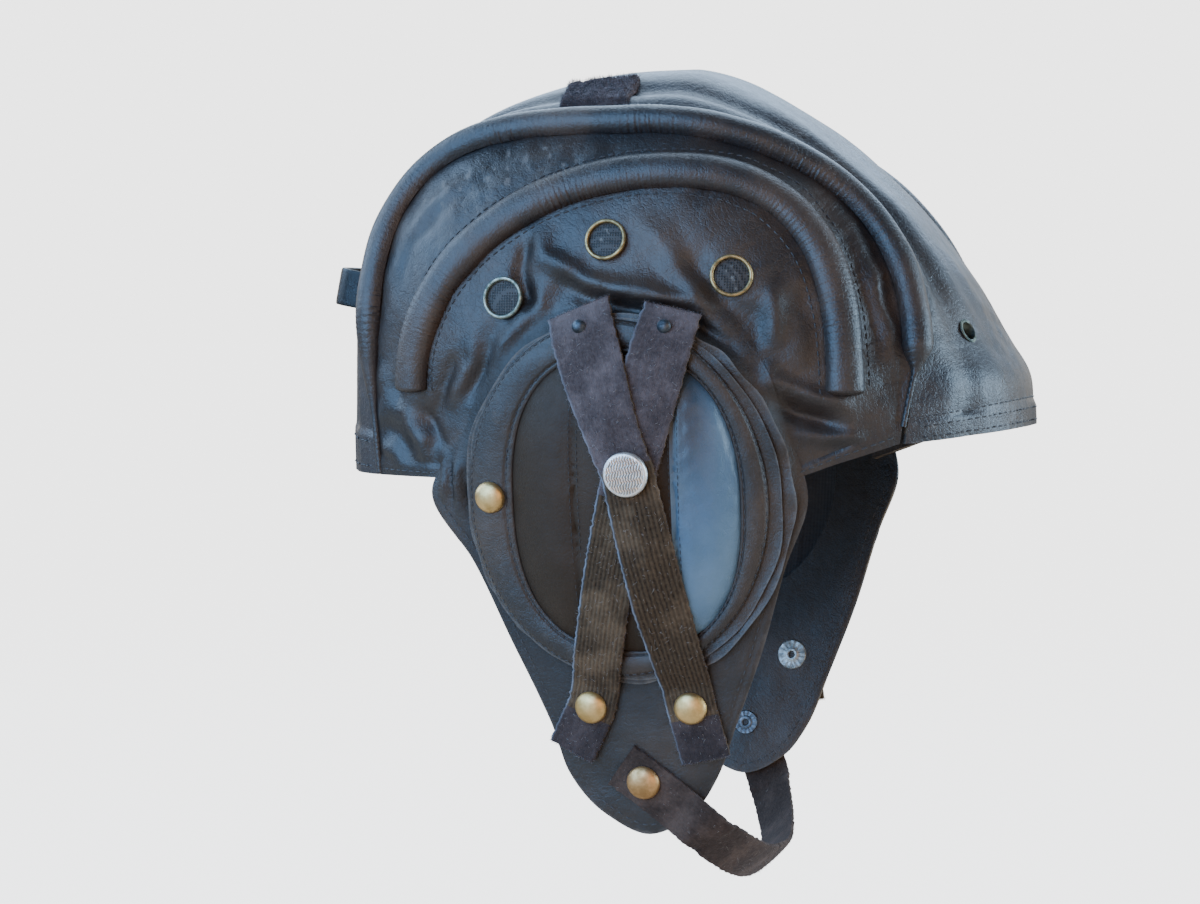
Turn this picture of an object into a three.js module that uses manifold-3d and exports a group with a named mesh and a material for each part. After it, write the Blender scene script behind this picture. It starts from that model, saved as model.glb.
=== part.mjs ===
// Leather tanker helmet with padded ribs, ear flaps, ear cups and elastic straps.
// Sizes are in millimetres, +X is the face side, +Y the wearer's left, +Z up.
// The origin is the inside top of the crown, where the helmet bears on the head.

import * as THREE from 'three';
import Module from 'manifold-3d';
import { mergeVertices } from 'three/addons/utils/BufferGeometryUtils.js';

const wasm = await Module();
wasm.setup();

// Thicknesses and the play between pieces that lie on each other
const WALL = 2.5;
const FLAP_WALL = 2;
const CUP_WALL = 1.8;
const STRAP_WALL = 1.5;
const TAB_WALL = 2.2;
const SEAT = 0.4;
const PAD_SEAT = 0.5;
const SEAM = 0.35;

// How high the flap and the cup's foot lie above the form
const FLAP_INNER = SEAT;
const FLAP_OUTER = SEAT + FLAP_WALL;
const CUP_FOOT = FLAP_OUTER + SEAT;
const STRAP_TOP = FLAP_OUTER + SEAT + STRAP_WALL;

const UP = new THREE.Vector3(0, 1, 0);

// Head form: each quarter falls from the crown's top to its widest level
const CROWN_TOP = WALL;
const FRONT = { reach: 114, depth: 120, power: 1.5 };
const BACK = { reach: 115, depth: 92, power: 2.15 };
const SIDE = { reach: 86, depth: 95, power: 2.2 };
const PLAN = { front: 2.1, back: 3, turn: 60 };
const TUCK = { slope: 0.17, ease: 20 };
const HEM = { brow: -117.5, nape: -134, droop: 4 };

// Arches of the side view, from the rear foot over the top to the front foot
const MAIN_ARCH = {
  middle: -4,
  foot: -98,
  height: 79.5,
  rear: { reach: 91.5, power: 3.5, hem: HEM.nape, lean: 0.07, leg: 0.1 },
  front: { reach: 89.5, power: 2.05, hem: HEM.brow - HEM.droop, lean: 0.16, leg: 0.065 },
};
const INNER_ARCH = {
  middle: 8,
  foot: -106,
  height: 71,
  rear: { reach: 85, power: 2 },
  front: { reach: 58, power: 2.4 },
};
const EAR_ARCH = {
  middle: -2,
  foot: -134,
  height: 44,
  rear: { reach: 48, power: 2 },
  front: { reach: 48, power: 2 },
};

// Rows and lanes of a side panel
const PANEL = { rows: 28, lanes: 6 };

// Padded ribs, and their D-shaped section as shares of width and height
const MAIN_RIB = { width: 9.6, height: 5.4, from: 0.03, to: 0.985, steps: 27, taper: 0.5 };
const INNER_RIB = { width: 11.4, height: 5, from: 0, to: 1, steps: 24, taper: 0.9 };
const RIB_SECTION = [
  [-0.5, 0],
  [0.5, 0],
  [0.47, 0.45],
  [0.27, 0.88],
  [0, 1],
  [-0.27, 0.88],
  [-0.47, 0.45],
];

// Columns of the crown panel, as shares of its half-width
const CROWN_SHARES = [-1, -0.88, -0.7, -0.56, -0.2, 0.2, 0.56, 0.7, 0.88, 1];
const CROWN_ROWS = 28;

// Groove along each side of the crown, as shares of its half-width
const PADS = { groove: 0.7, wide: 0.1, deep: 1.6 };

// Broad dents of the side panels, in the side view, each pressed inward
const DENTS = [
  { x: -24, z: -74, long: 26, wide: 7, lean: 35, deep: 1.6 },
  { x: 12, z: -66, long: 20, wide: 6, lean: -50, deep: 1.4 },
  { x: 74, z: -88, long: 34, wide: 6, lean: -72, deep: 1.8 },
  { x: -84, z: -92, long: 28, wide: 6, lean: 78, deep: 1.4 },
  { x: 54, z: -112, long: 30, wide: 7, lean: -60, deep: 1.8 },
  { x: -62, z: -112, long: 26, wide: 7, lean: 60, deep: 1.4 },
];

// Ear flap outline, a row for each height from the top to the tip
const FLAP_ROWS = [
  { z: -77, rear: -13, front: 14 },
  { z: -84, rear: -34, front: 33 },
  { z: -98, rear: -49, front: 43 },
  { z: -117, rear: -57, front: 49 },
  { z: -139, rear: -67, front: 54.5 },
  { z: -161, rear: -55.5, front: 47 },
  { z: -187, rear: -43.5, front: 39.5 },
  { z: -213, rear: -31.5, front: 30 },
  { z: -230, rear: -26, front: 23.5 },
  { z: -242, rear: -16, front: 15 },
];
const FLAP_TIP = { x: 0, z: -249.5 };
const EAR_HOLE = { x: -2.4, z: -139, halfX: 33, halfZ: 44 };
const FLAP_STEPS = { round: 28, across: 2 };

// Ear cup and the padded ring round its foot, as ovals of the side view
const CUP_OVAL = { x: -2.4, z: -140.2, halfX: 37.6, halfZ: 48.6 };
const RING_INNER = { x: -2.4, z: -140.2, halfX: 38.1, halfZ: 49.1 };
const RING_OUTER = { x: -3.1, z: -139, halfX: 52, halfZ: 57.5 };
const CUP = { height: 11.5, shoulder: 2.4, crown: 0.6, gore: 15.5, goreWide: 3, goreDeep: 0.9 };
const CUP_RINGS = [1, 0.98, 0.88, 0.68, 0.38, 0];
const CUP_STEPS = 22;
const RING_STEPS = 26;
const RING_TOP = 3.5;
const RING_SPARE = 0.6;
const RING_SECTION = [
  { across: 0, rise: 0 },
  { across: 0.05, rise: 2.3 },
  { across: 0.35, rise: RING_TOP },
  { across: 0.72, rise: 3.1 },
  { across: 0.96, rise: 1.6 },
  { across: 1, rise: 0 },
];

// Elastic straps: the middle line of each in the side view, from the top end down
const STRAP_WIDTH = 16;
const STRAP_OVER = [
  { x: -16, z: -79 },
  { x: 3, z: -127.5 },
  { x: 16.4, z: -206 },
  { x: 20.5, z: -223 },
];
const STRAP_UNDER = [
  { x: 14.5, z: -79 },
  { x: 3, z: -127.5 },
  { x: -16.4, z: -207 },
  { x: -24, z: -222 },
];
const STRAP_LANES = [-0.5, 0, 0.5];
const STRAP_STEPS = { top: 5, over: 8, hold: 1, end: 2 };
const STRAP_FINE = 3;
const STRAP_HOLD = 1.5;

// Chin strap from its end on the right flap to its end on the left one; a row with
// no y lies on the flap of its side
const CHIN_STRAP = [
  { x: -7.5, z: -226, on: -1 },
  { x: 0, z: -231.3, on: -1 },
  { x: 11, z: -240, on: -1 },
  { x: 19, z: -247, y: -66 },
  { x: 26.5, z: -258.5, y: -46 },
  { x: 27, z: -265.5, y: -14 },
  { x: 23, z: -266.5, y: 20 },
  { x: 15, z: -260.5, y: 50 },
  { x: 8, z: -249, y: 65.5 },
  { x: 4.5, z: -241, on: 1 },
  { x: 0, z: -231.3, on: 1 },
  { x: -3.5, z: -222, on: 1 },
];
const CHIN_LEAD = { forward: 0.7, down: 0.7, radius: 62 };
const CHIN_LANES = [-0.5, 0.5];
const CHIN_STEPS = 25;

// Snap studs: the place in the side view, cap and washer radius
const STUD = { shank: 1.8, capHigh: 3, washerHigh: 0.9, sides: 10, clear: 0.35, bit: 60 };
const SNAP = { x: 3, z: -127.5, cap: 7.2, capHigh: 2.6, grip: 3.6, sides: 16 };
const REAR_STUD = { x: -46.5, z: -138.5, cap: 5.2, washer: 3.6 };
const STRAP_STUDS = {
  back: { x: -16.4, z: -207, cap: 5.4, washer: 5.4 },
  front: { x: 16.4, z: -206, cap: 5.4, washer: 5.4 },
};
const CHIN_STUD = { x: 0, z: -231.3, cap: 5.6, washer: 4.4 };

// Vents of the side panels and the eyelets of the brow
const VENT = { hole: 5.6, barrel: 5.2, inside: 4.7, flange: 6.9, proud: 1.3, sides: 10 };
const VENT_GAUZE = { radius: 4.3, thick: 0.8, sunk: 1.4 };
const VENTS = {
  rear: { x: -43.2, z: -75.4 },
  top: { x: -9.3, z: -57 },
  front: { x: 31.5, z: -68.5 },
};
const EYELET = { turn: 0.104, y: 29.5, hole: 3.3, barrel: 2.9, inside: 2.4, flange: 4.9, proud: 1 };

// Tabs on the crown, and the loop at the back with its middle line from a foot outward
const TAB = { from: 0.53, to: 0.595, seat: 0.6, shares: [0.56, 0.7, 0.88] };
const KEEPER = { turn: 0.85, tall: 13, wall: 2, sink: 0.3, steps: 20 };
const KEEPER_LINE = [
  { y: 24, stand: 0 },
  { y: 17, stand: 0.4 },
  { y: 14, stand: 10 },
  { y: 9.6, stand: 13 },
];

// Side-view shapes

function quarter(shape, down) {
  const rise = Math.max(0, 1 - Math.max(0, down) / shape.depth);
  return shape.reach * (1 - rise ** shape.power) ** (1 / shape.power);
}

function halfWidth(down) {
  const below = Math.max(0, down - SIDE.depth);
  return quarter(SIDE, down) - TUCK.slope * (Math.hypot(below, TUCK.ease) - TUCK.ease);
}

// Half-width of the head form at a side-view point
function formY(x, z) {
  const down = CROWN_TOP - z;
  const reach = quarter(x > 0 ? FRONT : BACK, down);
  const back = THREE.MathUtils.clamp(-x / PLAN.turn, 0, 1);
  const power = THREE.MathUtils.lerp(PLAN.front, PLAN.back, back);
  const share = Math.min(1, Math.abs(x) / Math.max(reach, 1e-6));
  return halfWidth(down) * (1 - share ** power) ** (1 / power);
}

function archPoint(arch, share) {
  const angle = Math.PI * (1 - share);
  const side = Math.cos(angle) < 0 ? arch.rear : arch.front;
  const level = Math.abs(Math.cos(angle) / side.reach) ** side.power;
  const upright = Math.abs(Math.sin(angle) / arch.height) ** side.power;
  const radius = (level + upright) ** (-1 / side.power);
  return {
    x: arch.middle + radius * Math.cos(angle),
    z: arch.foot + radius * Math.sin(angle),
  };
}

// Below its feet an arch goes on to the hem on legs that lean in
function legPoint(arch, side, sign, z) {
  return { x: arch.middle + sign * (side.reach - side.lean * (arch.foot - z)), z };
}

function seamPoint(arch, share) {
  const { rear, front } = arch;
  const { lerp } = THREE.MathUtils;
  if (share < rear.leg) {
    return legPoint(arch, rear, -1, lerp(rear.hem, arch.foot, share / rear.leg));
  }
  if (share > 1 - front.leg) {
    return legPoint(arch, front, 1, lerp(front.hem, arch.foot, (1 - share) / front.leg));
  }
  return archPoint(arch, (share - rear.leg) / (1 - rear.leg - front.leg));
}

function insideArch(arch, x, z) {
  const side = x < arch.middle ? arch.rear : arch.front;
  if (z < arch.foot) {
    return Math.abs(x - arch.middle) < side.reach - side.lean * (arch.foot - z);
  }
  const level = Math.abs(x - arch.middle) / side.reach;
  const upright = (z - arch.foot) / arch.height;
  return level ** side.power + upright ** side.power < 1;
}

function ovalPoint(oval, angle) {
  return { x: oval.x + oval.halfX * Math.cos(angle), z: oval.z + oval.halfZ * Math.sin(angle) };
}

function ovalShare(oval, x, z) {
  return Math.hypot((x - oval.x) / oval.halfX, (z - oval.z) / oval.halfZ);
}

// Points of the left side at a side-view point, raised along the form's own normal

function sideNormal(x, z) {
  const step = 0.5;
  const alongX = (formY(x + step, z) - formY(x - step, z)) / (2 * step);
  const alongZ = (formY(x, z + step) - formY(x, z - step)) / (2 * step);
  return new THREE.Vector3(-alongX, 1, -alongZ).normalize();
}

function sidePoint(x, z, lift) {
  return new THREE.Vector3(x, formY(x, z), z).addScaledVector(sideNormal(x, z), lift);
}

// Points of the crown on rows that fan from the brow (0) over the top to the nape (1)

function fanRadius(turn, holds) {
  const rise = THREE.MathUtils.lerp(HEM.brow, HEM.nape, turn);
  let near = 0;
  let far = 200;
  for (let pass = 0; pass < 40; pass++) {
    const middle = (near + far) / 2;
    const x = middle * Math.cos(Math.PI * turn);
    const z = rise + middle * Math.sin(Math.PI * turn);
    if (holds(x, z)) {
      near = middle;
    } else {
      far = middle;
    }
  }
  const level = near * Math.cos(Math.PI * turn);
  return new THREE.Vector3(level, 0, rise + near * Math.sin(Math.PI * turn));
}

function fanBase(turn, y) {
  const point = fanRadius(turn, (x, z) => z < CROWN_TOP && formY(x, z) > Math.abs(y));
  point.y = y;
  return point;
}

function fanNormal(turn, y) {
  const along = fanBase(turn + 0.004, y).sub(fanBase(turn - 0.004, y));
  const across = fanBase(turn, y + 0.5).sub(fanBase(turn, y - 0.5));
  return along.cross(across).normalize().negate();
}

function seamHalfWidth(turn) {
  const seam = fanRadius(turn, (x, z) => insideArch(MAIN_ARCH, x, z));
  return formY(seam.x, seam.z);
}

// The crown's pads leave a groove along each side
function groove(share) {
  return -PADS.deep * Math.exp(-(((Math.abs(share) - PADS.groove) / PADS.wide) ** 2));
}

function crownPoint(turn, share, lift) {
  const y = share * (seamHalfWidth(turn) - SEAM);
  const droop = turn < 0.1 ? HEM.droop * share ** 2 * (1 - turn / 0.1) : 0;
  const point = fanBase(turn, y).addScaledVector(fanNormal(turn, y), lift);
  point.z -= droop;
  return point;
}

// Closed bodies

function body(points, faces) {
  const raw = new THREE.BufferGeometry();
  const flat = points.flatMap((p) => [p.x, p.y, p.z]);
  raw.setAttribute('position', new THREE.Float32BufferAttribute(flat, 3));
  raw.setIndex(faces.flat());
  return tidied(raw);
}

// Merge shared points, drop collapsed faces and turn every face outward
function tidied(geometry) {
  geometry.deleteAttribute('normal');
  geometry.deleteAttribute('uv');
  const merged = mergeVertices(geometry, 1e-4);
  const position = merged.attributes.position;
  const kept = [];
  let volume = 0;
  for (let i = 0; i < merged.index.count; i += 3) {
    const [a, b, c] = [0, 1, 2].map((k) => merged.index.getX(i + k));
    if (a === b || b === c || c === a) {
      continue;
    }
    const [pa, pb, pc] = [a, b, c].map((k) => new THREE.Vector3().fromBufferAttribute(position, k));
    volume += pa.dot(pb.cross(pc));
    kept.push([a, b, c]);
  }
  merged.setIndex(kept.flatMap((face) => (volume < 0 ? face.reverse() : face)));
  return merged;
}

// A wall between two matching grids of points; a round one closes on itself along its rows
function wall(outer, inner, round = false) {
  const rows = outer.length;
  const last = outer[0].length - 1;
  const faces = [];
  const at = (skin, row, column) => skin * rows * (last + 1) + (row % rows) * (last + 1) + column;
  const quad = (a, b, c, d) => faces.push([a, b, c], [a, c, d]);
  const spans = round ? rows : rows - 1;
  for (let row = 0; row < spans; row++) {
    for (let column = 0; column < last; column++) {
      quad(at(0, row, column), at(0, row + 1, column), at(0, row + 1, column + 1), at(0, row, column + 1));
      quad(at(1, row, column), at(1, row, column + 1), at(1, row + 1, column + 1), at(1, row + 1, column));
    }
    quad(at(0, row, 0), at(1, row, 0), at(1, row + 1, 0), at(0, row + 1, 0));
    quad(at(0, row, last), at(0, row + 1, last), at(1, row + 1, last), at(1, row, last));
  }
  if (!round) {
    for (let column = 0; column < last; column++) {
      quad(at(0, 0, column), at(0, 0, column + 1), at(1, 0, column + 1), at(1, 0, column));
      quad(at(0, spans, column), at(1, spans, column), at(1, spans, column + 1), at(0, spans, column + 1));
    }
  }
  return body([...outer.flat(), ...inner.flat()], faces);
}

// A body swept through matching closed sections, capped at both ends unless it is round
function swept(sections, round = false) {
  const count = sections[0].length;
  const faces = [];
  const at = (section, corner) => (section % sections.length) * count + (corner % count);
  const spans = round ? sections.length : sections.length - 1;
  for (let section = 0; section < spans; section++) {
    for (let corner = 0; corner < count; corner++) {
      faces.push([at(section, corner), at(section, corner + 1), at(section + 1, corner + 1)]);
      faces.push([at(section, corner), at(section + 1, corner + 1), at(section + 1, corner)]);
    }
  }
  if (!round) {
    for (let corner = 1; corner < count - 1; corner++) {
      faces.push([at(0, 0), at(0, corner + 1), at(0, corner)]);
      faces.push([at(spans, 0), at(spans, corner), at(spans, corner + 1)]);
    }
  }
  return body(sections.flat(), faces);
}

function turned(profile, sides) {
  const line = profile.map(([radius, height]) => new THREE.Vector2(radius, height));
  return tidied(new THREE.LatheGeometry(line, sides));
}

function asManifold(geometry) {
  const vertProperties = Float32Array.from(geometry.attributes.position.array);
  const triVerts = Uint32Array.from(geometry.index.array);
  return new wasm.Manifold(new wasm.Mesh({ numProp: 3, vertProperties, triVerts }));
}

// Round holes through a body, each along the normal at its place
function drilled(geometry, holes) {
  let solid = asManifold(geometry);
  for (const { place, normal, radius, sides = 8, long = 16 } of holes) {
    const bit = new THREE.CylinderGeometry(radius, radius, long, sides);
    bit.applyQuaternion(new THREE.Quaternion().setFromUnitVectors(UP, normal));
    bit.translate(place.x, place.y, place.z);
    solid = solid.subtract(asManifold(tidied(bit)));
  }
  const mesh = solid.getMesh();
  const cut = new THREE.BufferGeometry();
  cut.setAttribute('position', new THREE.BufferAttribute(mesh.vertProperties, 3));
  cut.setIndex(new THREE.BufferAttribute(mesh.triVerts, 1));
  return cut;
}

function series(steps, from = 0, to = 1) {
  return Array.from({ length: steps + 1 }, (_, i) => THREE.MathUtils.lerp(from, to, i / steps));
}

function mirrored(geometry) {
  const copy = geometry.clone();
  copy.applyMatrix4(new THREE.Matrix4().makeScale(1, -1, 1));
  return tidied(copy);
}

// Materials

function finish(color, roughness, metalness = 0) {
  return new THREE.MeshStandardMaterial({ color, roughness, metalness });
}

const LEATHER = finish('#2b3038', 0.42);
const RIB_LEATHER = finish('#252a31', 0.4);
const FLAP_LEATHER = finish('#2a2b30', 0.5);
const VELOUR = finish('#30262a', 0.95);
const ELASTIC = finish('#4a3b33', 0.85);
const BRASS = finish('#c9a25a', 0.35, 0.9);
const SILVER = finish('#cfc8c0', 0.35, 0.9);
const GAUZE = finish('#17181a', 0.9);

const helmet = new THREE.Group();

function add(name, geometry, material) {
  const mesh = new THREE.Mesh(geometry, material.clone());
  mesh.name = name;
  helmet.add(mesh);
  return mesh;
}

function addPair(name, geometry, material) {
  add(`${name}_left`, geometry, material);
  add(`${name}_right`, mirrored(geometry), material);
}

// A turned piece stands on both sides of the helmet, each along its own normal
function addTurnedPair(name, geometry, material, place, normal) {
  for (const [side, sign] of [['left', 1], ['right', -1]]) {
    const mesh = add(`${name}_${side}`, geometry, material);
    mesh.position.set(place.x, sign * place.y, place.z);
    mesh.quaternion.setFromUnitVectors(UP, new THREE.Vector3(normal.x, sign * normal.y, normal.z));
  }
}

// Crown panel from the brow hem over the top to the nape hem

function crownPanel() {
  const turns = series(CROWN_ROWS);
  const outer = turns.map((turn) => CROWN_SHARES.map((share) => crownPoint(turn, share, groove(share))));
  const inner = turns.map((turn) => CROWN_SHARES.map((share) => crownPoint(turn, share, -WALL)));
  const holes = [-1, 1].map((sign) => ({ ...browPlace(sign), radius: EYELET.hole }));
  return drilled(wall(outer, inner), holes);
}

function browPlace(sign) {
  const y = sign * EYELET.y;
  const share = y / (seamHalfWidth(EYELET.turn) - SEAM);
  const normal = fanNormal(EYELET.turn, y);
  return { place: crownPoint(EYELET.turn, share, groove(share) + SEAT), normal };
}

// Side panel between the main rib's seam and the ear opening

function dent(x, z) {
  let pressed = 0;
  for (const { x: middle, z: level, long, wide, lean, deep } of DENTS) {
    const turn = THREE.MathUtils.degToRad(lean);
    const along = (x - middle) * Math.cos(turn) + (z - level) * Math.sin(turn);
    const across = (z - level) * Math.cos(turn) - (x - middle) * Math.sin(turn);
    pressed += deep * Math.exp(-((along / long) ** 2) - (across / wide) ** 2);
  }
  return pressed;
}

function sidePanel() {
  const places = series(PANEL.rows).map((share) => {
    const top = seamPoint(MAIN_ARCH, share);
    const inset = 1 - SEAM / Math.hypot(top.x - MAIN_ARCH.middle, top.z - MAIN_ARCH.foot);
    const edge = {
      x: THREE.MathUtils.lerp(MAIN_ARCH.middle, top.x, inset),
      z: top.z > MAIN_ARCH.foot ? THREE.MathUtils.lerp(MAIN_ARCH.foot, top.z, inset) : top.z,
    };
    const ear = archPoint(EAR_ARCH, share);
    return series(PANEL.lanes).map((lane) => ({
      x: THREE.MathUtils.lerp(edge.x, ear.x, lane),
      z: THREE.MathUtils.lerp(edge.z, ear.z, lane),
      lane,
    }));
  });
  const pressed = ({ x, z, lane }) => dent(x, z) * Math.min(1, lane * 5);
  const outer = places.map((row) => row.map((at) => sidePoint(at.x, at.z, -pressed(at))));
  const inner = places.map((row) => row.map((at) => sidePoint(at.x, at.z, -WALL - pressed(at))));
  const holes = Object.values(VENTS).map((vent) => ({
    place: sidePoint(vent.x, vent.z, 0),
    normal: sideNormal(vent.x, vent.z),
    radius: VENT.hole,
    sides: VENT.sides,
  }));
  return drilled(wall(outer, inner), holes);
}

// Padded rib: a D-shaped roll that follows an arch of the side view

function rib(line, shape) {
  const sections = series(shape.steps, shape.from, shape.to).map((share, index) => {
    const here = line(share);
    const ahead = line(share + 0.002);
    const place = sidePoint(here.x, here.z, PAD_SEAT);
    const normal = sideNormal(here.x, here.z);
    const along = sidePoint(ahead.x, ahead.z, PAD_SEAT).sub(place).normalize();
    const across = new THREE.Vector3().crossVectors(along, normal).normalize();
    const end = Math.min(index, shape.steps - index);
    const size = end === 0 ? shape.taper : 1;
    return RIB_SECTION.map(([side, rise]) => place.clone()
      .addScaledVector(across, side * shape.width * size)
      .addScaledVector(normal, rise * shape.height * size));
  });
  return swept(sections);
}

// Ear flap: a leaf of leather with the ear hole, drilled for its studs

function flapOutline() {
  const rear = FLAP_ROWS.map(({ z, rear: x }) => new THREE.Vector3(x, 0, z));
  const front = FLAP_ROWS.map(({ z, front: x }) => new THREE.Vector3(x, 0, z)).reverse();
  const tip = new THREE.Vector3(FLAP_TIP.x, 0, FLAP_TIP.z);
  return new THREE.CatmullRomCurve3([...rear, tip, ...front], true, 'centripetal');
}

function earFlap() {
  const outline = flapOutline();
  const places = series(FLAP_STEPS.round).slice(0, -1).map((share) => {
    const edge = outline.getPointAt(share);
    const upright = (edge.z - EAR_HOLE.z) / EAR_HOLE.halfZ;
    const hole = ovalPoint(EAR_HOLE, Math.atan2(upright, (edge.x - EAR_HOLE.x) / EAR_HOLE.halfX));
    return series(FLAP_STEPS.across).map((ring) => ({
      x: THREE.MathUtils.lerp(hole.x, edge.x, ring),
      z: THREE.MathUtils.lerp(hole.z, edge.z, ring),
    }));
  });
  const outer = places.map((row) => row.map((at) => sidePoint(at.x, at.z, FLAP_OUTER)));
  const inner = places.map((row) => row.map((at) => sidePoint(at.x, at.z, FLAP_INNER)));
  const studs = [REAR_STUD, CHIN_STUD, ...Object.values(STRAP_STUDS)];
  return drilled(wall(outer, inner, true), studs.map(shankHole));
}

function shankHole({ x, z }) {
  return {
    place: sidePoint(x, z, 0),
    normal: sideNormal(x, z),
    radius: STUD.shank + SEAM,
    long: STUD.bit,
  };
}

// Ear cup: a hollow dome of three gores, open to the ear

function cupRise(x, z) {
  const share = Math.min(1, ovalShare(CUP_OVAL, x, z));
  const valley = Math.exp(-(((Math.abs(x) - CUP.gore) / CUP.goreWide) ** 2));
  const swell = CUP.height * (1 - share ** CUP.shoulder) ** CUP.crown;
  return swell - CUP.goreDeep * valley * Math.min(1, swell / CUP.height);
}

function earCup() {
  const angles = series(CUP_STEPS, 0, 2 * Math.PI).slice(0, -1);
  const skin = (thick) => angles.map((angle) => CUP_RINGS.map((ring) => {
    const edge = ovalPoint(CUP_OVAL, angle);
    const x = THREE.MathUtils.lerp(CUP_OVAL.x, edge.x, ring);
    const z = THREE.MathUtils.lerp(CUP_OVAL.z, edge.z, ring);
    const lift = Math.max(0, cupRise(x, z) - thick);
    const inward = thick / CUP_OVAL.halfX;
    return sidePoint(
      THREE.MathUtils.lerp(x, CUP_OVAL.x, inward),
      THREE.MathUtils.lerp(z, CUP_OVAL.z, inward),
      CUP_FOOT + lift,
    );
  }));
  return wall(skin(0), skin(CUP_WALL), true);
}

function cupRing() {
  const sections = series(RING_STEPS, 0, 2 * Math.PI).slice(0, -1).map((angle) => {
    const inside = ovalPoint(RING_INNER, angle);
    const outside = ovalPoint(RING_OUTER, angle);
    return RING_SECTION.map(({ across, rise }) => sidePoint(
      THREE.MathUtils.lerp(inside.x, outside.x, across),
      THREE.MathUtils.lerp(inside.z, outside.z, across),
      CUP_FOOT + rise,
    ));
  });
  return drilled(swept(sections, true), [shankHole(REAR_STUD)]);
}

// How far the flap, the ring and the cup stand off the form at a side-view point, with a
// little to spare where the ring is steep

function ringRise(x, z) {
  const inward = (ovalShare(RING_INNER, x, z) - 1) * RING_INNER.halfX;
  const outward = (1 - ovalShare(RING_OUTER, x, z)) * RING_OUTER.halfX;
  if (inward < -2 || outward < -1) {
    return 0;
  }
  const across = THREE.MathUtils.clamp(inward / (inward + outward), 0, 1);
  const next = RING_SECTION.findIndex((row) => row.across >= across);
  const [low, high] = [RING_SECTION[Math.max(0, next - 1)], RING_SECTION[next]];
  const share = (across - low.across) / Math.max(1e-6, high.across - low.across);
  return THREE.MathUtils.lerp(low.rise, high.rise, share) + RING_SPARE;
}

function support(x, z) {
  const cup = ovalShare(CUP_OVAL, x, z) < 1 ? cupRise(x, z) : 0;
  const ring = ringRise(x, z);
  return cup + ring > 0 ? CUP_FOOT + Math.max(cup, ring) : FLAP_OUTER;
}

// Elastic strap: pulled taut over what it lies on

function taut(lifts) {
  return lifts.map((_, here) => {
    let best = lifts[here];
    for (let low = 0; low < here; low++) {
      for (let high = here + 1; high < lifts.length; high++) {
        const share = (here - low) / (high - low);
        best = Math.max(best, THREE.MathUtils.lerp(lifts[low], lifts[high], share));
      }
    }
    return best;
  });
}

function between(one, other, share) {
  return {
    x: THREE.MathUtils.lerp(one.x, other.x, share),
    z: THREE.MathUtils.lerp(one.z, other.z, share),
  };
}

function strapPlaces([top, cross, pin, end], stud) {
  const free = 1 - (stud.cap + STRAP_HOLD) / Math.hypot(pin.x - cross.x, pin.z - cross.z);
  const stops = [top, cross, between(cross, pin, free), pin, end];
  const middle = [top, ...Object.values(STRAP_STEPS).flatMap((steps, leg) => (
    series(steps * STRAP_FINE).slice(1).map((share) => between(stops[leg], stops[leg + 1], share))
  ))];
  return middle.map((here, index) => {
    const behind = middle[Math.max(0, index - STRAP_FINE)];
    const ahead = middle[Math.min(middle.length - 1, index + STRAP_FINE)];
    const length = Math.hypot(ahead.x - behind.x, ahead.z - behind.z);
    const step = { x: (ahead.x - behind.x) / length, z: (ahead.z - behind.z) / length };
    return STRAP_LANES.map((lane) => ({
      x: here.x + step.z * lane * STRAP_WIDTH,
      z: here.z - step.x * lane * STRAP_WIDTH,
    }));
  });
}

// Taut from the top end to the stud, and flat on the flap from there to its end
function strapLifts(places, held) {
  const pinned = (STRAP_STEPS.top + STRAP_STEPS.over) * STRAP_FINE;
  return STRAP_LANES.map((_, lane) => {
    const lifts = places.map((row) => held(row[lane].x, row[lane].z) + SEAT);
    const flat = lifts.slice(pinned).map(() => FLAP_OUTER + SEAT);
    return [...taut([...lifts.slice(0, pinned), flat[0]]), ...flat.slice(1)];
  });
}

function strap(places, lifts) {
  const raised = (extra) => places.map((row, index) => row.map((at, lane) => (
    sidePoint(at.x, at.z, lifts[lane][index] + extra)
  )));
  const skin = (extra) => raised(extra).filter((_, index) => index % STRAP_FINE === 0);
  return wall(skin(STRAP_WALL), skin(0));
}

// The outer face of a strap at a side-view point, or nothing away from it
function strapFace(places, lifts, x, z) {
  let best = null;
  places.forEach((row, index) => {
    const away = Math.hypot(row[1].x - x, row[1].z - z);
    if (away < STRAP_WIDTH / 2 + 3 && (best === null || away < best.away)) {
      best = { away, lift: Math.max(...lifts.map((lane) => lane[index])) + STRAP_WALL };
    }
  });
  return best === null ? 0 : best.lift;
}

const underPlaces = strapPlaces(STRAP_UNDER, STRAP_STUDS.back);
const underLifts = strapLifts(underPlaces, support);
const overPlaces = strapPlaces(STRAP_OVER, STRAP_STUDS.front);
const overLifts = strapLifts(overPlaces, (x, z) => (
  Math.max(support(x, z), strapFace(underPlaces, underLifts, x, z))
));

// Chin strap: one loop of elastic from flap to flap

function chinLine() {
  return new THREE.CatmullRomCurve3(CHIN_STRAP.map(({ x, y, z, on }) => {
    const held = sidePoint(x, z, FLAP_OUTER + SEAT);
    return new THREE.Vector3(on ? held.x : x, on ? on * held.y : y, on ? held.z : z);
  }), false, 'centripetal');
}

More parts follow.
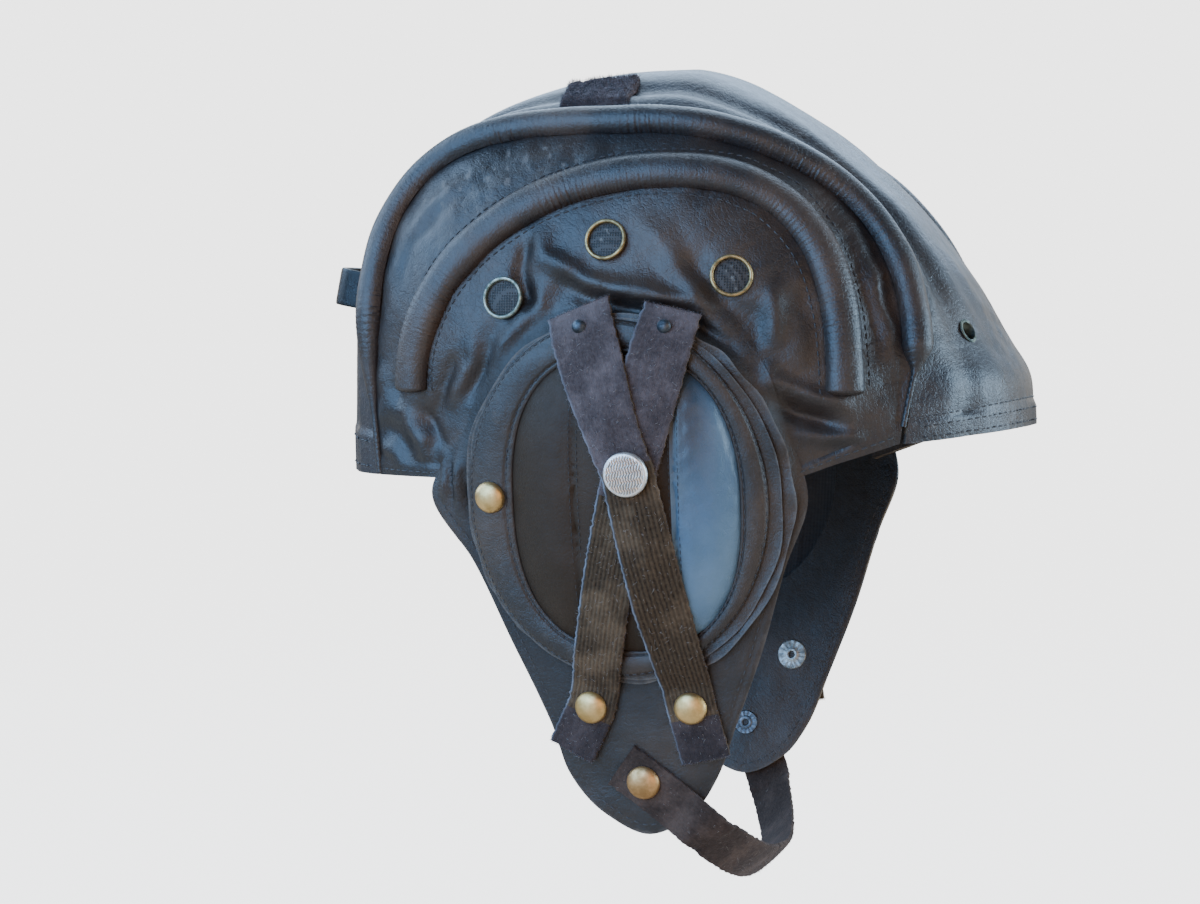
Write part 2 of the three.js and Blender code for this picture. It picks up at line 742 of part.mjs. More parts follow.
function chinStrap() {
  const line = chinLine();
  const rows = series(CHIN_STEPS).map((share) => {
    const here = line.getPointAt(share);
    const along = line.getTangentAt(share);
    const lead = Math.sqrt(Math.max(0, CHIN_LEAD.radius ** 2 - here.y ** 2));
    const away = new THREE.Vector3(lead * CHIN_LEAD.forward, here.y, -lead * CHIN_LEAD.down);
    if (lead === 0) {
      away.z = -Math.abs(here.y) * TUCK.slope;
    }
    away.addScaledVector(along, -away.dot(along)).normalize();
    const across = new THREE.Vector3().crossVectors(along, away).normalize();
    return { here, away, across };
  });
  const skin = (extra) => rows.map(({ here, away, across }) => CHIN_LANES.map((lane) => (
    here.clone().addScaledVector(across, lane * STRAP_WIDTH).addScaledVector(away, extra)
  )));
  const hole = shankHole(CHIN_STUD);
  const other = {
    ...hole,
    place: new THREE.Vector3(hole.place.x, -hole.place.y, hole.place.z),
    normal: new THREE.Vector3(hole.normal.x, -hole.normal.y, hole.normal.z),
  };
  return drilled(wall(skin(STRAP_WALL), skin(0)), [hole, other]);
}

// Snap studs: a domed cap, a shank through what it fastens and a washer inside

function studProfile(cap, washer, grip) {
  return [
    [0, -grip - STUD.washerHigh],
    [washer, -grip - STUD.washerHigh],
    [washer, -grip],
    [STUD.shank, -grip],
    [STUD.shank, 0],
    [cap, 0],
    [cap * 0.9, STUD.capHigh * 0.6],
    [cap * 0.5, STUD.capHigh * 0.94],
    [0, STUD.capHigh],
  ];
}

function addStud(name, { x, z, cap, washer }, top) {
  const grip = top + STUD.clear - (FLAP_INNER - STUD.clear);
  const stud = turned(studProfile(cap, washer, grip), STUD.sides);
  addTurnedPair(name, stud, BRASS, sidePoint(x, z, top + STUD.clear), sideNormal(x, z));
}

function snapProfile() {
  return [
    [0, -SNAP.grip],
    [STUD.shank, -SNAP.grip],
    [STUD.shank, 0],
    [SNAP.cap, 0],
    [SNAP.cap * 0.97, SNAP.capHigh * 0.46],
    [SNAP.cap * 0.8, SNAP.capHigh * 0.8],
    [0, SNAP.capHigh],
  ];
}

function grommet({ inside, barrel, flange, proud }) {
  return [
    [inside, -WALL],
    [inside, proud],
    [flange, proud * 0.6],
    [flange, 0],
    [barrel, 0],
    [barrel, -WALL],
    [inside, -WALL],
  ];
}

// Velour tab on the crown beside the main rib

function crownTab() {
  const skin = (extra) => series(2, TAB.from, TAB.to).map((turn) => TAB.shares.map((share) => (
    crownPoint(turn, share, groove(share) + TAB.seat + extra)
  )));
  return wall(skin(TAB_WALL), skin(0));
}

// Loop at the back of the crown, a short strap that stands off the leather

function rearKeeper() {
  const base = fanBase(KEEPER.turn, 0);
  const outward = fanNormal(KEEPER.turn, 0);
  const upward = fanBase(KEEPER.turn - 0.01, 0).sub(base).normalize();
  const seat = KEEPER.wall / 2 - KEEPER.sink;
  const back = KEEPER_LINE.map(({ y, stand }) => ({ y: -y, stand })).reverse();
  const line = new THREE.CatmullRomCurve3(
    [...KEEPER_LINE, ...back].map(({ y, stand }) => new THREE.Vector3(y, seat + stand, 0)),
  );
  const sections = series(KEEPER.steps).map((share) => {
    const here = line.getPointAt(share);
    const along = line.getTangentAt(share);
    return [[-0.5, -0.5], [0.5, -0.5], [0.5, 0.5], [-0.5, 0.5]].map(([side, level]) => {
      const place = base.clone()
        .addScaledVector(outward, here.y + along.x * side * KEEPER.wall)
        .addScaledVector(upward, level * KEEPER.tall);
      place.y += here.x - along.y * side * KEEPER.wall;
      return place;
    });
  });
  return swept(sections);
}

add('crown_panel', crownPanel(), LEATHER);
addPair('side_panel', sidePanel(), LEATHER);
addPair('main_rib', rib((share) => seamPoint(MAIN_ARCH, share), MAIN_RIB), RIB_LEATHER);
addPair('inner_rib', rib((share) => archPoint(INNER_ARCH, share), INNER_RIB), RIB_LEATHER);
addPair('ear_flap', earFlap(), FLAP_LEATHER);
addPair('cup_ring', cupRing(), FLAP_LEATHER);
addPair('ear_cup', earCup(), LEATHER);

const underHoles = [shankHole(SNAP), shankHole(STRAP_STUDS.back)];
const overHoles = [shankHole(SNAP), shankHole(STRAP_STUDS.front)];
addPair('cup_strap_under', drilled(strap(underPlaces, underLifts), underHoles), ELASTIC);
addPair('cup_strap_over', drilled(strap(overPlaces, overLifts), overHoles), ELASTIC);
add('chin_strap', chinStrap(), ELASTIC);

for (const [name, vent] of Object.entries(VENTS)) {
  const normal = sideNormal(vent.x, vent.z);
  const ring = sidePoint(vent.x, vent.z, SEAT);
  const disc = sidePoint(vent.x, vent.z, -VENT_GAUZE.sunk);
  addTurnedPair(`vent_ring_${name}`, turned(grommet(VENT), VENT.sides), BRASS, ring, normal);
  const { radius, thick } = VENT_GAUZE;
  const gauze = new THREE.CylinderGeometry(radius, radius, thick, VENT.sides);
  addTurnedPair(`vent_gauze_${name}`, tidied(gauze), GAUZE, disc, normal);
}

const brow = browPlace(1);
addTurnedPair('brow_eyelet', turned(grommet(EYELET), VENT.sides), BRASS, brow.place, brow.normal);

addStud('stud_back', STRAP_STUDS.back, STRAP_TOP);
addStud('stud_front', STRAP_STUDS.front, STRAP_TOP);
addStud('stud_chin', CHIN_STUD, STRAP_TOP);
addStud('stud_rear', REAR_STUD, CUP_FOOT + RING_TOP);

const snapLift = strapFace(overPlaces, overLifts, SNAP.x, SNAP.z) + STUD.clear;
const snap = turned(snapProfile(), SNAP.sides);
addTurnedPair('cup_snap', snap, SILVER, sidePoint(SNAP.x, SNAP.z, snapLift), sideNormal(SNAP.x, SNAP.z));

addPair('crown_tab', crownTab(), VELOUR);
add('rear_keeper', rearKeeper(), RIB_LEATHER);

export default helmet;
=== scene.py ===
# Looks of a leather tanker helmet: creased leather over padding, long ear flaps with round
# ear cups, elastic straps, brass studs. Sizes are in millimetres until a mesh is made.

import math

import bmesh
import bpy
import numpy as np
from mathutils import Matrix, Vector


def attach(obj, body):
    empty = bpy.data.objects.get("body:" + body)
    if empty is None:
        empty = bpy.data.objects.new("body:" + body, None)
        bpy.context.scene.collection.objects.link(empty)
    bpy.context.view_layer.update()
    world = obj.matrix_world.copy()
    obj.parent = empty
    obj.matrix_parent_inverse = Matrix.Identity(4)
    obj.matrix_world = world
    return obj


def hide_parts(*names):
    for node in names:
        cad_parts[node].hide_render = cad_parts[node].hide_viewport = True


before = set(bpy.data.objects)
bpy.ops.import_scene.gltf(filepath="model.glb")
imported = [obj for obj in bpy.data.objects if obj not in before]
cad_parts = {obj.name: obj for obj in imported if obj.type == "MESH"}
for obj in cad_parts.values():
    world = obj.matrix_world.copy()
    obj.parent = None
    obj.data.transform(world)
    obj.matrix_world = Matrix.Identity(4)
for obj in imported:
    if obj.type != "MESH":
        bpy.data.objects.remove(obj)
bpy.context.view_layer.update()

MM = 0.001
SIDES = {1: "left", -1: "right"}

# The helmet's form, the same as in the solids
WALL, FLAP_WALL, CUP_WALL, STRAP_WALL, SEAT, SEAM = 2.5, 2.0, 1.8, 1.5, 0.4, 0.35
FLAP_INNER, FLAP_OUTER = SEAT, SEAT + FLAP_WALL
CUP_FOOT = FLAP_OUTER + SEAT
STRAP_TOP = CUP_FOOT + STRAP_WALL
FRONT, BACK, SIDE = (114, 120, 1.5), (115, 92, 2.15), (86, 95, 2.2)
JAW_TAPER, JAW_ROUND, POINTED, FULLER_BACK = 0.17, 20, 2.1, 0.9
BROW, NAPE, DROOP, DROOP_END, CROWN_LENGTH = -117.5, -134.0, 4.0, 0.1, 330
MAIN_ARCH = dict(middle=-4, foot=-98, height=79.5, rear=(91.5, 3.5), front=(89.5, 2.05))
MAIN_LEGS = dict(rear=(NAPE, 0.07, 0.1), front=(BROW - DROOP, 0.16, 0.065))
INNER_ARCH = dict(middle=8, foot=-106, height=71, rear=(85, 2), front=(58, 2.4))
EAR_ARCH = dict(middle=-2, foot=-134, height=44, rear=(48, 2), front=(48, 2))

# Ovals of the ear hole, the cup and its ring: middle x and z, half-width, half-height
EAR_HOLE, CUP_OVAL = (-2.4, -139, 33, 44), (-2.4, -140.2, 37.6, 48.6)
RING_INNER, RING_OUTER = (-2.4, -140.2, 38.1, 49.1), (-3.1, -139, 52, 57.5)
RING_ROLL, RING_TOP, RING_RADIUS = (-2.4, -140.2, 36.4, 47.0), (-6.0, -139.2, 49.1, 57.2), 54
CUP_HEIGHT, CUP_POWER, GORE = 11.5, 2.5, 15.5

# Lines and curves


def unit(vectors):
    return vectors / np.linalg.norm(vectors, axis=-1, keepdims=True)


def bell(value, middle, width):
    return np.exp(-(((value - middle) / width) ** 2))


def smooth(value, low, high):
    share = np.clip((value - low) / (high - low), 0, 1)
    return share * share * (3 - 2 * share)


def run_length(line):
    """The way along a line up to each of its points."""
    return np.concatenate([[0], np.cumsum(np.linalg.norm(np.diff(line, axis=0), axis=1))])


def sample(line, way, at):
    """A line's points at given ways along it."""
    return np.stack([np.interp(at, way, column) for column in line.T], 1)


def part_way(one, other, share):
    """Side-view points part of the way from one line to another."""
    return [a + (b - a) * share for a, b in zip(one, other)]


def blend(at, start, end, one, other):
    return ((end - at) * one + (at - start) * other) / (end - start)


def round_curve(corners, count, closed=True):
    """Evenly spaced points on a smooth curve through the corners (centripetal)."""
    corners = np.asarray(corners, float)
    if closed:
        padded = np.concatenate([corners[-1:], corners, corners[:2]])
    else:
        beyond = [2 * corners[:1] - corners[1:2], 2 * corners[-1:] - corners[-2:-1]]
        padded = np.concatenate([beyond[0], corners, beyond[1]])
    fine = []
    for near in zip(padded, padded[1:], padded[2:], padded[3:]):
        steps = [max(np.linalg.norm(b - a) ** 0.5, 1e-4) for a, b in zip(near, near[1:])]
        knots = np.cumsum([0, *steps])
        at = np.linspace(knots[1], knots[2], 40, endpoint=False)[:, None]
        one, two, three = (blend(at, *knots[i : i + 2], *near[i : i + 2]) for i in range(3))
        early = blend(at, knots[0], knots[2], one, two)
        late = blend(at, knots[1], knots[3], two, three)
        fine.append(blend(at, knots[1], knots[2], early, late))
    fine.append(corners[:1] if closed else corners[-1:])
    fine = np.concatenate(fine)
    way = run_length(fine)
    return sample(fine, way, np.linspace(0, way[-1], count, endpoint=not closed))


# The head form


def quarter(shape, down):
    reach, depth, power = shape
    rise = np.clip(1 - np.maximum(0, down) / depth, 0, 1)
    return reach * (1 - rise**power) ** (1 / power)


def form_y(x, z):
    """Half-width of the head form at a side-view point."""
    down = WALL - z
    below = np.maximum(0, down - SIDE[1])
    half = quarter(SIDE, down) - JAW_TAPER * (np.hypot(below, JAW_ROUND) - JAW_ROUND)
    reach = np.where(x > 0, quarter(FRONT, down), quarter(BACK, down))
    power = POINTED + FULLER_BACK * np.clip(-x / 60, 0, 1)
    share = np.minimum(1, np.abs(x) / np.maximum(reach, 1e-6))
    return half * (1 - share**power) ** (1 / power)


def side_normal(x, z, step=0.5):
    along_x = (form_y(x + step, z) - form_y(x - step, z)) / (2 * step)
    along_z = (form_y(x, z + step) - form_y(x, z - step)) / (2 * step)
    return unit(np.stack([-along_x, np.ones_like(along_x), -along_z], -1))


def side_point(x, z, lift):
    x, z, lift = np.broadcast_arrays(*(np.asarray(v, float) for v in (x, z, lift)))
    return np.stack([x, form_y(x, z), z], -1) + side_normal(x, z) * lift[..., None]


def arch_point(arch, share):
    angle = np.pi * (1 - np.asarray(share, float))
    rear = np.cos(angle) < 0
    reach = np.where(rear, arch["rear"][0], arch["front"][0])
    power = np.where(rear, arch["rear"][1], arch["front"][1])
    level = np.abs(np.cos(angle) / reach) ** power
    upright = np.abs(np.sin(angle) / arch["height"]) ** power
    radius = (level + upright) ** (-1 / power)
    return arch["middle"] + radius * np.cos(angle), arch["foot"] + radius * np.sin(angle)


def seam_point(share):
    """The seam of crown and side panel, with the legs below the arch's feet."""
    share = np.asarray(share, float)
    rear_hem, rear_lean, rear_leg = MAIN_LEGS["rear"]
    front_hem, front_lean, front_leg = MAIN_LEGS["front"]
    middle, foot = MAIN_ARCH["middle"], MAIN_ARCH["foot"]
    x, z = arch_point(MAIN_ARCH, np.clip((share - rear_leg) / (1 - rear_leg - front_leg), 0, 1))
    rear_z = rear_hem + (foot - rear_hem) * share / rear_leg
    front_z = front_hem + (foot - front_hem) * (1 - share) / front_leg
    rear_x = middle - (MAIN_ARCH["rear"][0] - rear_lean * (foot - rear_z))
    front_x = middle + (MAIN_ARCH["front"][0] - front_lean * (foot - front_z))
    at_rear, at_front = share < rear_leg, share > 1 - front_leg
    x = np.where(at_rear, rear_x, np.where(at_front, front_x, x))
    return x, np.where(at_rear, rear_z, np.where(at_front, front_z, z))


def inside_main_arch(x, z):
    rear = x < MAIN_ARCH["middle"]
    reach = np.where(rear, MAIN_ARCH["rear"][0], MAIN_ARCH["front"][0])
    power = np.where(rear, MAIN_ARCH["rear"][1], MAIN_ARCH["front"][1])
    lean = np.where(rear, MAIN_LEGS["rear"][1], MAIN_LEGS["front"][1])
    level = np.abs(x - MAIN_ARCH["middle"])
    upright = np.maximum(0, z - MAIN_ARCH["foot"]) / MAIN_ARCH["height"]
    above = (level / reach) ** power + upright**power < 1
    beside = level < reach - lean * (MAIN_ARCH["foot"] - z)
    return np.where(z < MAIN_ARCH["foot"], beside, above)


def arch_distance(arch, x, z):
    """How far a side-view point lies outside an arch, and its way along the arch."""
    angle = np.arctan2(z - arch["foot"], x - arch["middle"])
    edge_x, edge_z = arch_point(arch, 1 - angle / np.pi)
    edge = np.hypot(edge_x - arch["middle"], edge_z - arch["foot"])
    here = np.hypot(x - arch["middle"], z - arch["foot"])
    return here - edge, angle * 0.5 * (edge + 70)


def oval_point(oval, angle):
    return oval[0] + oval[2] * np.cos(angle), oval[1] + oval[3] * np.sin(angle)


def oval_share(oval, x, z):
    return np.hypot((x - oval[0]) / oval[2], (z - oval[1]) / oval[3])


def beyond_ring(x, z):
    """How far a side-view point lies outside the cup's ring."""
    return np.maximum(0, (oval_share(RING_TOP, x, z) - 1) * RING_RADIUS)


def cup_edge(oval, angle):
    """A point on an oval with fuller corners, like the cup's."""
    level, upright = np.cos(angle), np.sin(angle)
    size = (np.abs(level) ** CUP_POWER + np.abs(upright) ** CUP_POWER) ** (-1 / CUP_POWER)
    return oval[0] + oval[2] * level * size, oval[1] + oval[3] * upright * size


def cup_share(x, z):
    level = np.abs(x - CUP_OVAL[0]) / CUP_OVAL[2]
    upright = np.abs(z - CUP_OVAL[1]) / CUP_OVAL[3]
    return (level**CUP_POWER + upright**CUP_POWER) ** (1 / CUP_POWER)


def fan_radius(turn, holds, reach=200.0, halvings=40):
    """The furthest point in the middle plane, on rows that fan from brow (0) to nape (1)."""
    rise = BROW + (NAPE - BROW) * turn
    near, far = np.zeros_like(turn), np.full_like(turn, reach)
    for _ in range(halvings):
        middle = (near + far) / 2
        inside = holds(middle * np.cos(np.pi * turn), rise + middle * np.sin(np.pi * turn))
        near, far = np.where(inside, middle, near), np.where(inside, far, middle)
    return near * np.cos(np.pi * turn), rise + near * np.sin(np.pi * turn)


def fan_base(turn, y):
    x, z = fan_radius(turn, lambda x, z: (z < WALL) & (form_y(x, z) > np.abs(y)))
    return np.stack([x, y, z], -1)


def fan_normal(turn, y, row=0.004, step=0.5):
    along = fan_base(turn + row, y) - fan_base(turn - row, y)
    across = fan_base(turn, y + step) - fan_base(turn, y - step)
    return unit(-np.cross(along, across))


def crown_y(turn, share):
    """Distance from the middle plane at a share of the crown panel's half-width."""
    return share * (form_y(*fan_radius(turn, inside_main_arch)) - SEAM)


def crown_point(turn, share, lift):
    turn, share, lift = np.broadcast_arrays(*(np.asarray(v, float) for v in (turn, share, lift)))
    y = crown_y(turn, share)
    point = fan_base(turn, y) + fan_normal(turn, y) * lift[..., None]
    point[..., 2] -= DROOP * share**2 * np.maximum(0, 1 - turn / DROOP_END)
    return point


# Relief of soft surfaces


def rumple(size, seed, *where, waves=16, height=6):
    """Even, seeded unevenness from -1 to 1 whose bumps are about the given size."""
    dice = np.random.default_rng(seed)
    total = 0
    for _ in range(waves):
        way = dice.normal(size=len(where))
        way *= 2 * np.pi / (size * dice.uniform(0.7, 1.6) * np.linalg.norm(way))
        total = total + np.sin(sum(w * v for w, v in zip(way, where)) + dice.uniform(0, 7))
    return total / height


def fold(x, z, line, height, width):
    """A rounded fold along a line of side-view points, dying out at both ends."""
    line = np.asarray(line, float)
    ends = run_length(line)
    nearest, along = np.full(x.shape, 1e9), np.zeros(x.shape)
    for start, step, before, after in zip(line, np.diff(line, axis=0), ends, ends[1:]):
        length = after - before
        share = ((x - start[0]) * step[0] + (z - start[1]) * step[1]) / length**2
        share = np.clip(share, 0, 1)
        away = np.hypot(x - start[0] - share * step[0], z - start[1] - share * step[1])
        closer = away < nearest
        nearest = np.where(closer, away, nearest)
        along = np.where(closer, before + share * length, along)
    fade = smooth(np.minimum(along, ends[-1] - along), -1, 0.3 * ends[-1])
    return height * bell(nearest, 0, width) * fade


def dent(x, z, middle_x, middle_z, long, wide, lean, deep):
    """A smooth dip, longer one way than the other."""
    c, s = math.cos(math.radians(lean)), math.sin(math.radians(lean))
    x, z = x - middle_x, z - middle_z
    return deep * bell(x * c + z * s, 0, long) * bell(z * c - x * s, 0, wide)


# Broad dents of the side panels, as in the solids: x, z, long, wide, lean, deep
DENTS = (
    (-24, -74, 26, 7, 35, 1.6),
    (12, -66, 20, 6, -50, 1.4),
    (74, -88, 34, 6, -72, 1.8),
    (-84, -92, 28, 6, 78, 1.4),
    (54, -112, 30, 7, -60, 1.8),
    (-62, -112, 26, 7, 60, 1.4),
)

# Folds of the side panels in the side view: line, height, width
FOLDS = (
    (((-34, -50), (-29, -63), (-16, -69.5), (2, -74), (19, -76.5), (29, -82)), 2.2, 3.6),
    (((-29, -68), (-16, -75), (2, -80), (18, -82), (31, -90), (42, -100)), -2.2, 3.0),
    (((-36, -54), (-38, -66), (-35, -76), (-33, -82)), -2.0, 3.0),
    (((-29, -68), (-31, -77), (-41, -87), (-51, -99)), 1.7, 3.4),
    (((-44, -86), (-50, -96), (-58, -110)), -1.1, 2.6),
    (((-53, -84), (-55, -96), (-64, -112)), 1.0, 3.0),
    (((-60, -92), (-66, -106), (-72, -118)), -1.2, 2.4),
    (((-78, -110), (-70, -117), (-65, -126)), -1.0, 2.6),
    (((-76, -118), (-69, -122), (-63, -132)), 0.9, 2.6),
    (((-2, -47), (8, -57), (15, -67), (29, -82)), 1.4, 4.2),
    (((14, -56), (20, -64), (34, -80), (38, -92)), -1.5, 3.6),
    (((38, -76), (39.5, -84), (40, -93)), -0.9, 2.8),
    (((43, -68), (45, -80), (45, -94)), 1.0, 3.2),
    (((50, -68), (56, -84), (58, -98)), -0.8, 4.0),
    (((42, -92), (44, -101), (58, -107), (72, -111)), 1.9, 3.0),
    (((44, -107), (52, -112.5), (68, -116)), -2.0, 2.6),
    (((50, -118), (60, -119), (74, -118)), 1.1, 2.4),
    (((46, -36), (58, -48), (67, -62), (73, -79), (75.5, -97)), -1.0, 2.4),
    (((52, -38), (63, -51), (72, -67), (77.5, -84), (79, -98)), 0.8, 2.2),
    (((60, -44), (69, -56), (76.5, -70), (81, -88)), -0.9, 2.0),
    (((-84, -60), (-74, -46), (-60, -36)), 0.8, 3.0),
    (((-86, -76), (-80, -58), (-70, -46), (-56, -38)), -0.8, 2.6),
    (((-92, -96), (-90, -108), (-92, -120)), 0.9, 3.0),
    (((-86, -100), (-84, -110), (-80, -119)), -0.9, 2.6),
    (((-90, -108), (-82, -113), (-74, -123), (-70, -133)), 1.3, 3.0),
    (((-92, -117), (-84, -120), (-78, -130)), -0.9, 2.6),
    (((-94, -124), (-86, -126), (-80, -133)), 0.8, 2.6),
    (((-74, -104), (-72, -116), (-66, -130)), -0.9, 2.8),
)

# Folds of the ear flaps behind the ring: line, height, width
FLAP_FOLDS = (
    (((-67, -121), (-65, -131), (-65, -142)), 1.3, 1.5),
    (((-62.6, -118), (-62.4, -130), (-61.8, -148)), -1.0, 1.2),
    (((-58.5, -112), (-60, -128), (-59.5, -148)), 1.3, 1.5),
    (((-56.5, -125), (-56.5, -138), (-55, -152)), -0.9, 1.2),
)

PANEL_SEED = {1: 60, -1: 30}


def side_relief(x, z, side):
    """Creases of a side panel above its plain form, and how rubbed it is."""
    seed = PANEL_SEED[side]
    lift = -sum(dent(x, z, *row) for row in DENTS)
    bend_x = x + 0.7 * rumple(24, seed + 1, x, z)
    bend_z = z + 0.7 * rumple(24, seed + 2, x, z)
    creases = sum(fold(bend_x, bend_z, *row) for row in FOLDS)
    creases = 1.35 * creases + 0.3 * rumple(13, seed + 3, x, z) + 0.06 * rumple(4, seed + 4, x, z)

    # Puckers beside both ribs
    far, way = arch_distance(INNER_ARCH, x, z)
    past = np.maximum(0, np.abs(far) - 6.5)
    wobble = 1.5 * rumple(9, seed + 5, way, far * 0.2)
    patchy = smooth(rumple(26, seed + 10, x, z), -0.3, 0.8)
    near = np.exp(-past / 2.5) * smooth(z, -110, -100)
    creases += 0.16 * patchy * np.sin(way * 2.5 + wobble) * near
    outer, along = arch_distance(MAIN_ARCH, x, z)
    edge = np.exp(-np.maximum(0, -outer - 5.5) / 3)
    wobble = 1.5 * rumple(8, seed + 6, along, outer * 0.2)
    creases += 0.12 * patchy * np.sin(along * 2.2 + wobble) * edge

    # The cracked, scuffed band between the ribs
    rough = smooth(far, 6, 9) * smooth(-outer, 5, 8) * smooth(z, -66, -40) * smooth(-x, -12, 26)
    creases += rough * (0.1 * rumple(3.2, seed + 7, x, z) + 0.22 * rumple(7, seed + 8, x, z))
    scuffed = 0.8 * rough * smooth(rumple(5, seed + 9, x, z), -0.2, 0.8)
    return lift + creases, 0.3 * smooth(creases, 0.8, 3) + scuffed


def crown_relief(turn, share, y, seed):
    """Pads, grooves and puckers of the crown panel above its plain form."""
    off, length = np.abs(share), turn * CROWN_LENGTH
    strong = smooth(turn, 0.1, 0.2) * (1 - smooth(turn, 0.62, 0.8))
    lift = -(1.2 + 0.7 * strong) * bell(off, 0.7, 0.075) + 0.5 * bell(off, 0.5, 0.14)
    lift = lift + (0.3 + 0.8 * strong) * bell(off, 0.84, 0.07)
    pucker = np.sin(length * 2.1 + 1.6 * rumple(8, seed, length, y * 0.3))
    bead = strong * bell(off, 0.932, 0.009)
    lift = lift + 0.08 * pucker * bell(off, 0.72, 0.12) + 0.9 * bead
    patchy = smooth(rumple(30, seed + 5, length, y), -0.2, 0.9)
    stitched = np.sin(length * 2.3 + rumple(8, seed + 1, length, y)) * smooth(off, 0.9, 0.97)
    streak = rumple(9, seed + 2, y, length * 0.12)
    lift = lift + 0.09 * patchy * stitched + 0.35 * rumple(26, seed + 3, length, y)
    lift = lift + (0.12 + 0.16 * (1 - smooth(turn, 0.02, 0.3))) * streak

    # The worn leather over the brow
    creased = (1 - smooth(turn, 0.1, 0.24)) * smooth(rumple(40, seed + 6, length, y), -0.8, 0.6)
    lift = lift + creased * 0.14 * rumple(6, seed + 7, length, y)
    lift = lift + creased * 0.2 * rumple(12, seed + 8, length, y)
    scuffed = creased * smooth(rumple(5, seed + 9, length, y), 0, 0.9)
    # Raised places and scuffs are rubbed pale; the bead along the seam is painted pale as well, a painted
    # highlight on its ridge.
    rubbed = np.maximum(smooth(lift, 0.6, 1.6) * 0.4, np.maximum(0.8 * bead, 0.75 * scuffed))
    return lift, rubbed


# Mesh making


def skin_faces(rows, columns, round_rows, keep):
    """Quads of a wall between two matching grids, with the wall of each edge and hole."""
    count = rows * columns
    spans = rows if round_rows else rows - 1
    held = np.ones((spans, columns - 1), bool) if keep is None else keep
    row, column = np.meshgrid(np.arange(spans), np.arange(columns - 1), indexing="ij")

    def quads(cells, *corners):
        """A quad in each cell, from corners given as skin, row and column."""
        r, c = row[cells], column[cells]
        spots = [skin * count + (r + down) % rows * columns + c + over for skin, down, over in corners]
        return np.stack(spots, -1)

    outer = quads(held, (0, 0, 0), (0, 1, 0), (0, 1, 1), (0, 0, 1))
    faces, kinds = [outer, outer[:, ::-1] + count], [np.repeat((0, 1), len(outer))]
    around = np.pad(held, 1)
    if round_rows:
        around[0, 1:-1], around[-1, 1:-1] = held[-1], held[0]
    for (down, over), one, other in (
        ((-1, 0), (0, 1), (0, 0)),
        ((1, 0), (1, 0), (1, 1)),
        ((0, -1), (0, 0), (1, 0)),
        ((0, 1), (1, 1), (0, 1)),
    ):
        rim = held & ~around[1 + down : 1 + down + spans, 1 + over : columns + over]
        faces.append(quads(rim, (0, *other), (0, *one), (1, *one), (1, *other)))
        kinds.append(np.full(rim.sum(), 2))
    return np.concatenate(faces), np.concatenate(kinds)


def piece(
    name, points, faces, finishes, kinds=None, marks=None, slot="", node="", side=1, sharp=40, pad=None
):
    """A mesh object that rides on the helmet, mirrored for the right side.

    A star in its name and in that of the node it stands for is read as the side's name.
    """
    mesh = bpy.data.meshes.new(name.replace("*", SIDES[side]))
    points = np.asarray(points) * MM * (1, side, 1)
    mesh.from_pydata(points.tolist(), [], [tuple(face[::side]) for face in faces])
    for finish in finishes:
        mesh.materials.append(finish)
    if kinds is not None:
        mesh.polygons.foreach_set("material_index", kinds.astype(np.int32))
    for mark, values in (marks or {}).items():
        kind, field = ("FLOAT", "value") if values.ndim == 1 else ("FLOAT_VECTOR", "vector")
        data = mesh.attributes.new(mark, kind, "POINT").data
        data.foreach_set(field, values.astype(np.float32).ravel())
    mesh.polygons.foreach_set("use_smooth", np.ones(len(mesh.polygons), bool))
    mesh.set_sharp_from_angle(angle=math.radians(sharp))
    mesh.update()
    made = bpy.data.objects.new(mesh.name, mesh)
    bpy.context.scene.collection.objects.link(made)
    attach(made, "root")
    if node:
        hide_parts(node.replace("*", SIDES[side]))
    return made


def shell(name, outer, inner, finishes, round_rows=False, keep=None, zones=None, marks=None, **how):
    """A wall between two grids; zones give a finish for each cell of the outer one."""
    rows, columns = outer.shape[:2]
    faces, kinds = skin_faces(rows, columns, round_rows, keep)
    if zones is not None:
        kinds = np.append(zones.ravel(), np.zeros(len(faces) - zones.size, int))
    points = np.concatenate([outer.reshape(-1, 3), inner.reshape(-1, 3)])
    used, faces = np.unique(faces, return_inverse=True)
    marks = {
        mark: np.concatenate([values.reshape(rows * columns, *values.shape[2:])] * 2)[used]
        for mark, values in (marks or {}).items()
    }
    return piece(name, points[used], faces.reshape(-1, 4).tolist(), finishes, kinds, marks, **how)


def swept(name, sections, finish, round_rows=False, marks=None, **how):
    """A closed body through matching closed sections."""
    rows, count = sections.shape[:2]
    spans = rows if round_rows else rows - 1
    row, corner = np.meshgrid(np.arange(spans), np.arange(count), indexing="ij")
    here, beyond, after = row * count, (row + 1) % rows * count, (corner + 1) % count
    faces = np.stack([here + corner, here + after, beyond + after, beyond + corner], -1)
    faces = faces.reshape(-1, 4).tolist()
    points, marks = sections.reshape(-1, 3), marks or {}
    if not round_rows:
        first, base = rows * count, (rows - 1) * count
        points = np.concatenate([points, [sections[0].mean(0), sections[-1].mean(0)]])
        marks = {mark: np.append(v, [v[0].mean(), v[-1].mean()]) for mark, v in marks.items()}
        faces += [(first, (c + 1) % count, c) for c in range(count)]
        faces += [(first + 1, base + c, base + (c + 1) % count) for c in range(count)]
    marks = {mark: v.ravel() for mark, v in marks.items()}
    return piece(name, points, faces, [finish], marks=marks, **how)


def weld(made):
    """Joins doubled points, such as those on a turned piece's axis."""
    work = bmesh.new()
    work.from_mesh(made.data)
    bmesh.ops.remove_doubles(work, verts=work.verts, dist=1e-6)
    bmesh.ops.recalc_face_normals(work, faces=work.faces)
    work.to_mesh(made.data)
    work.free()


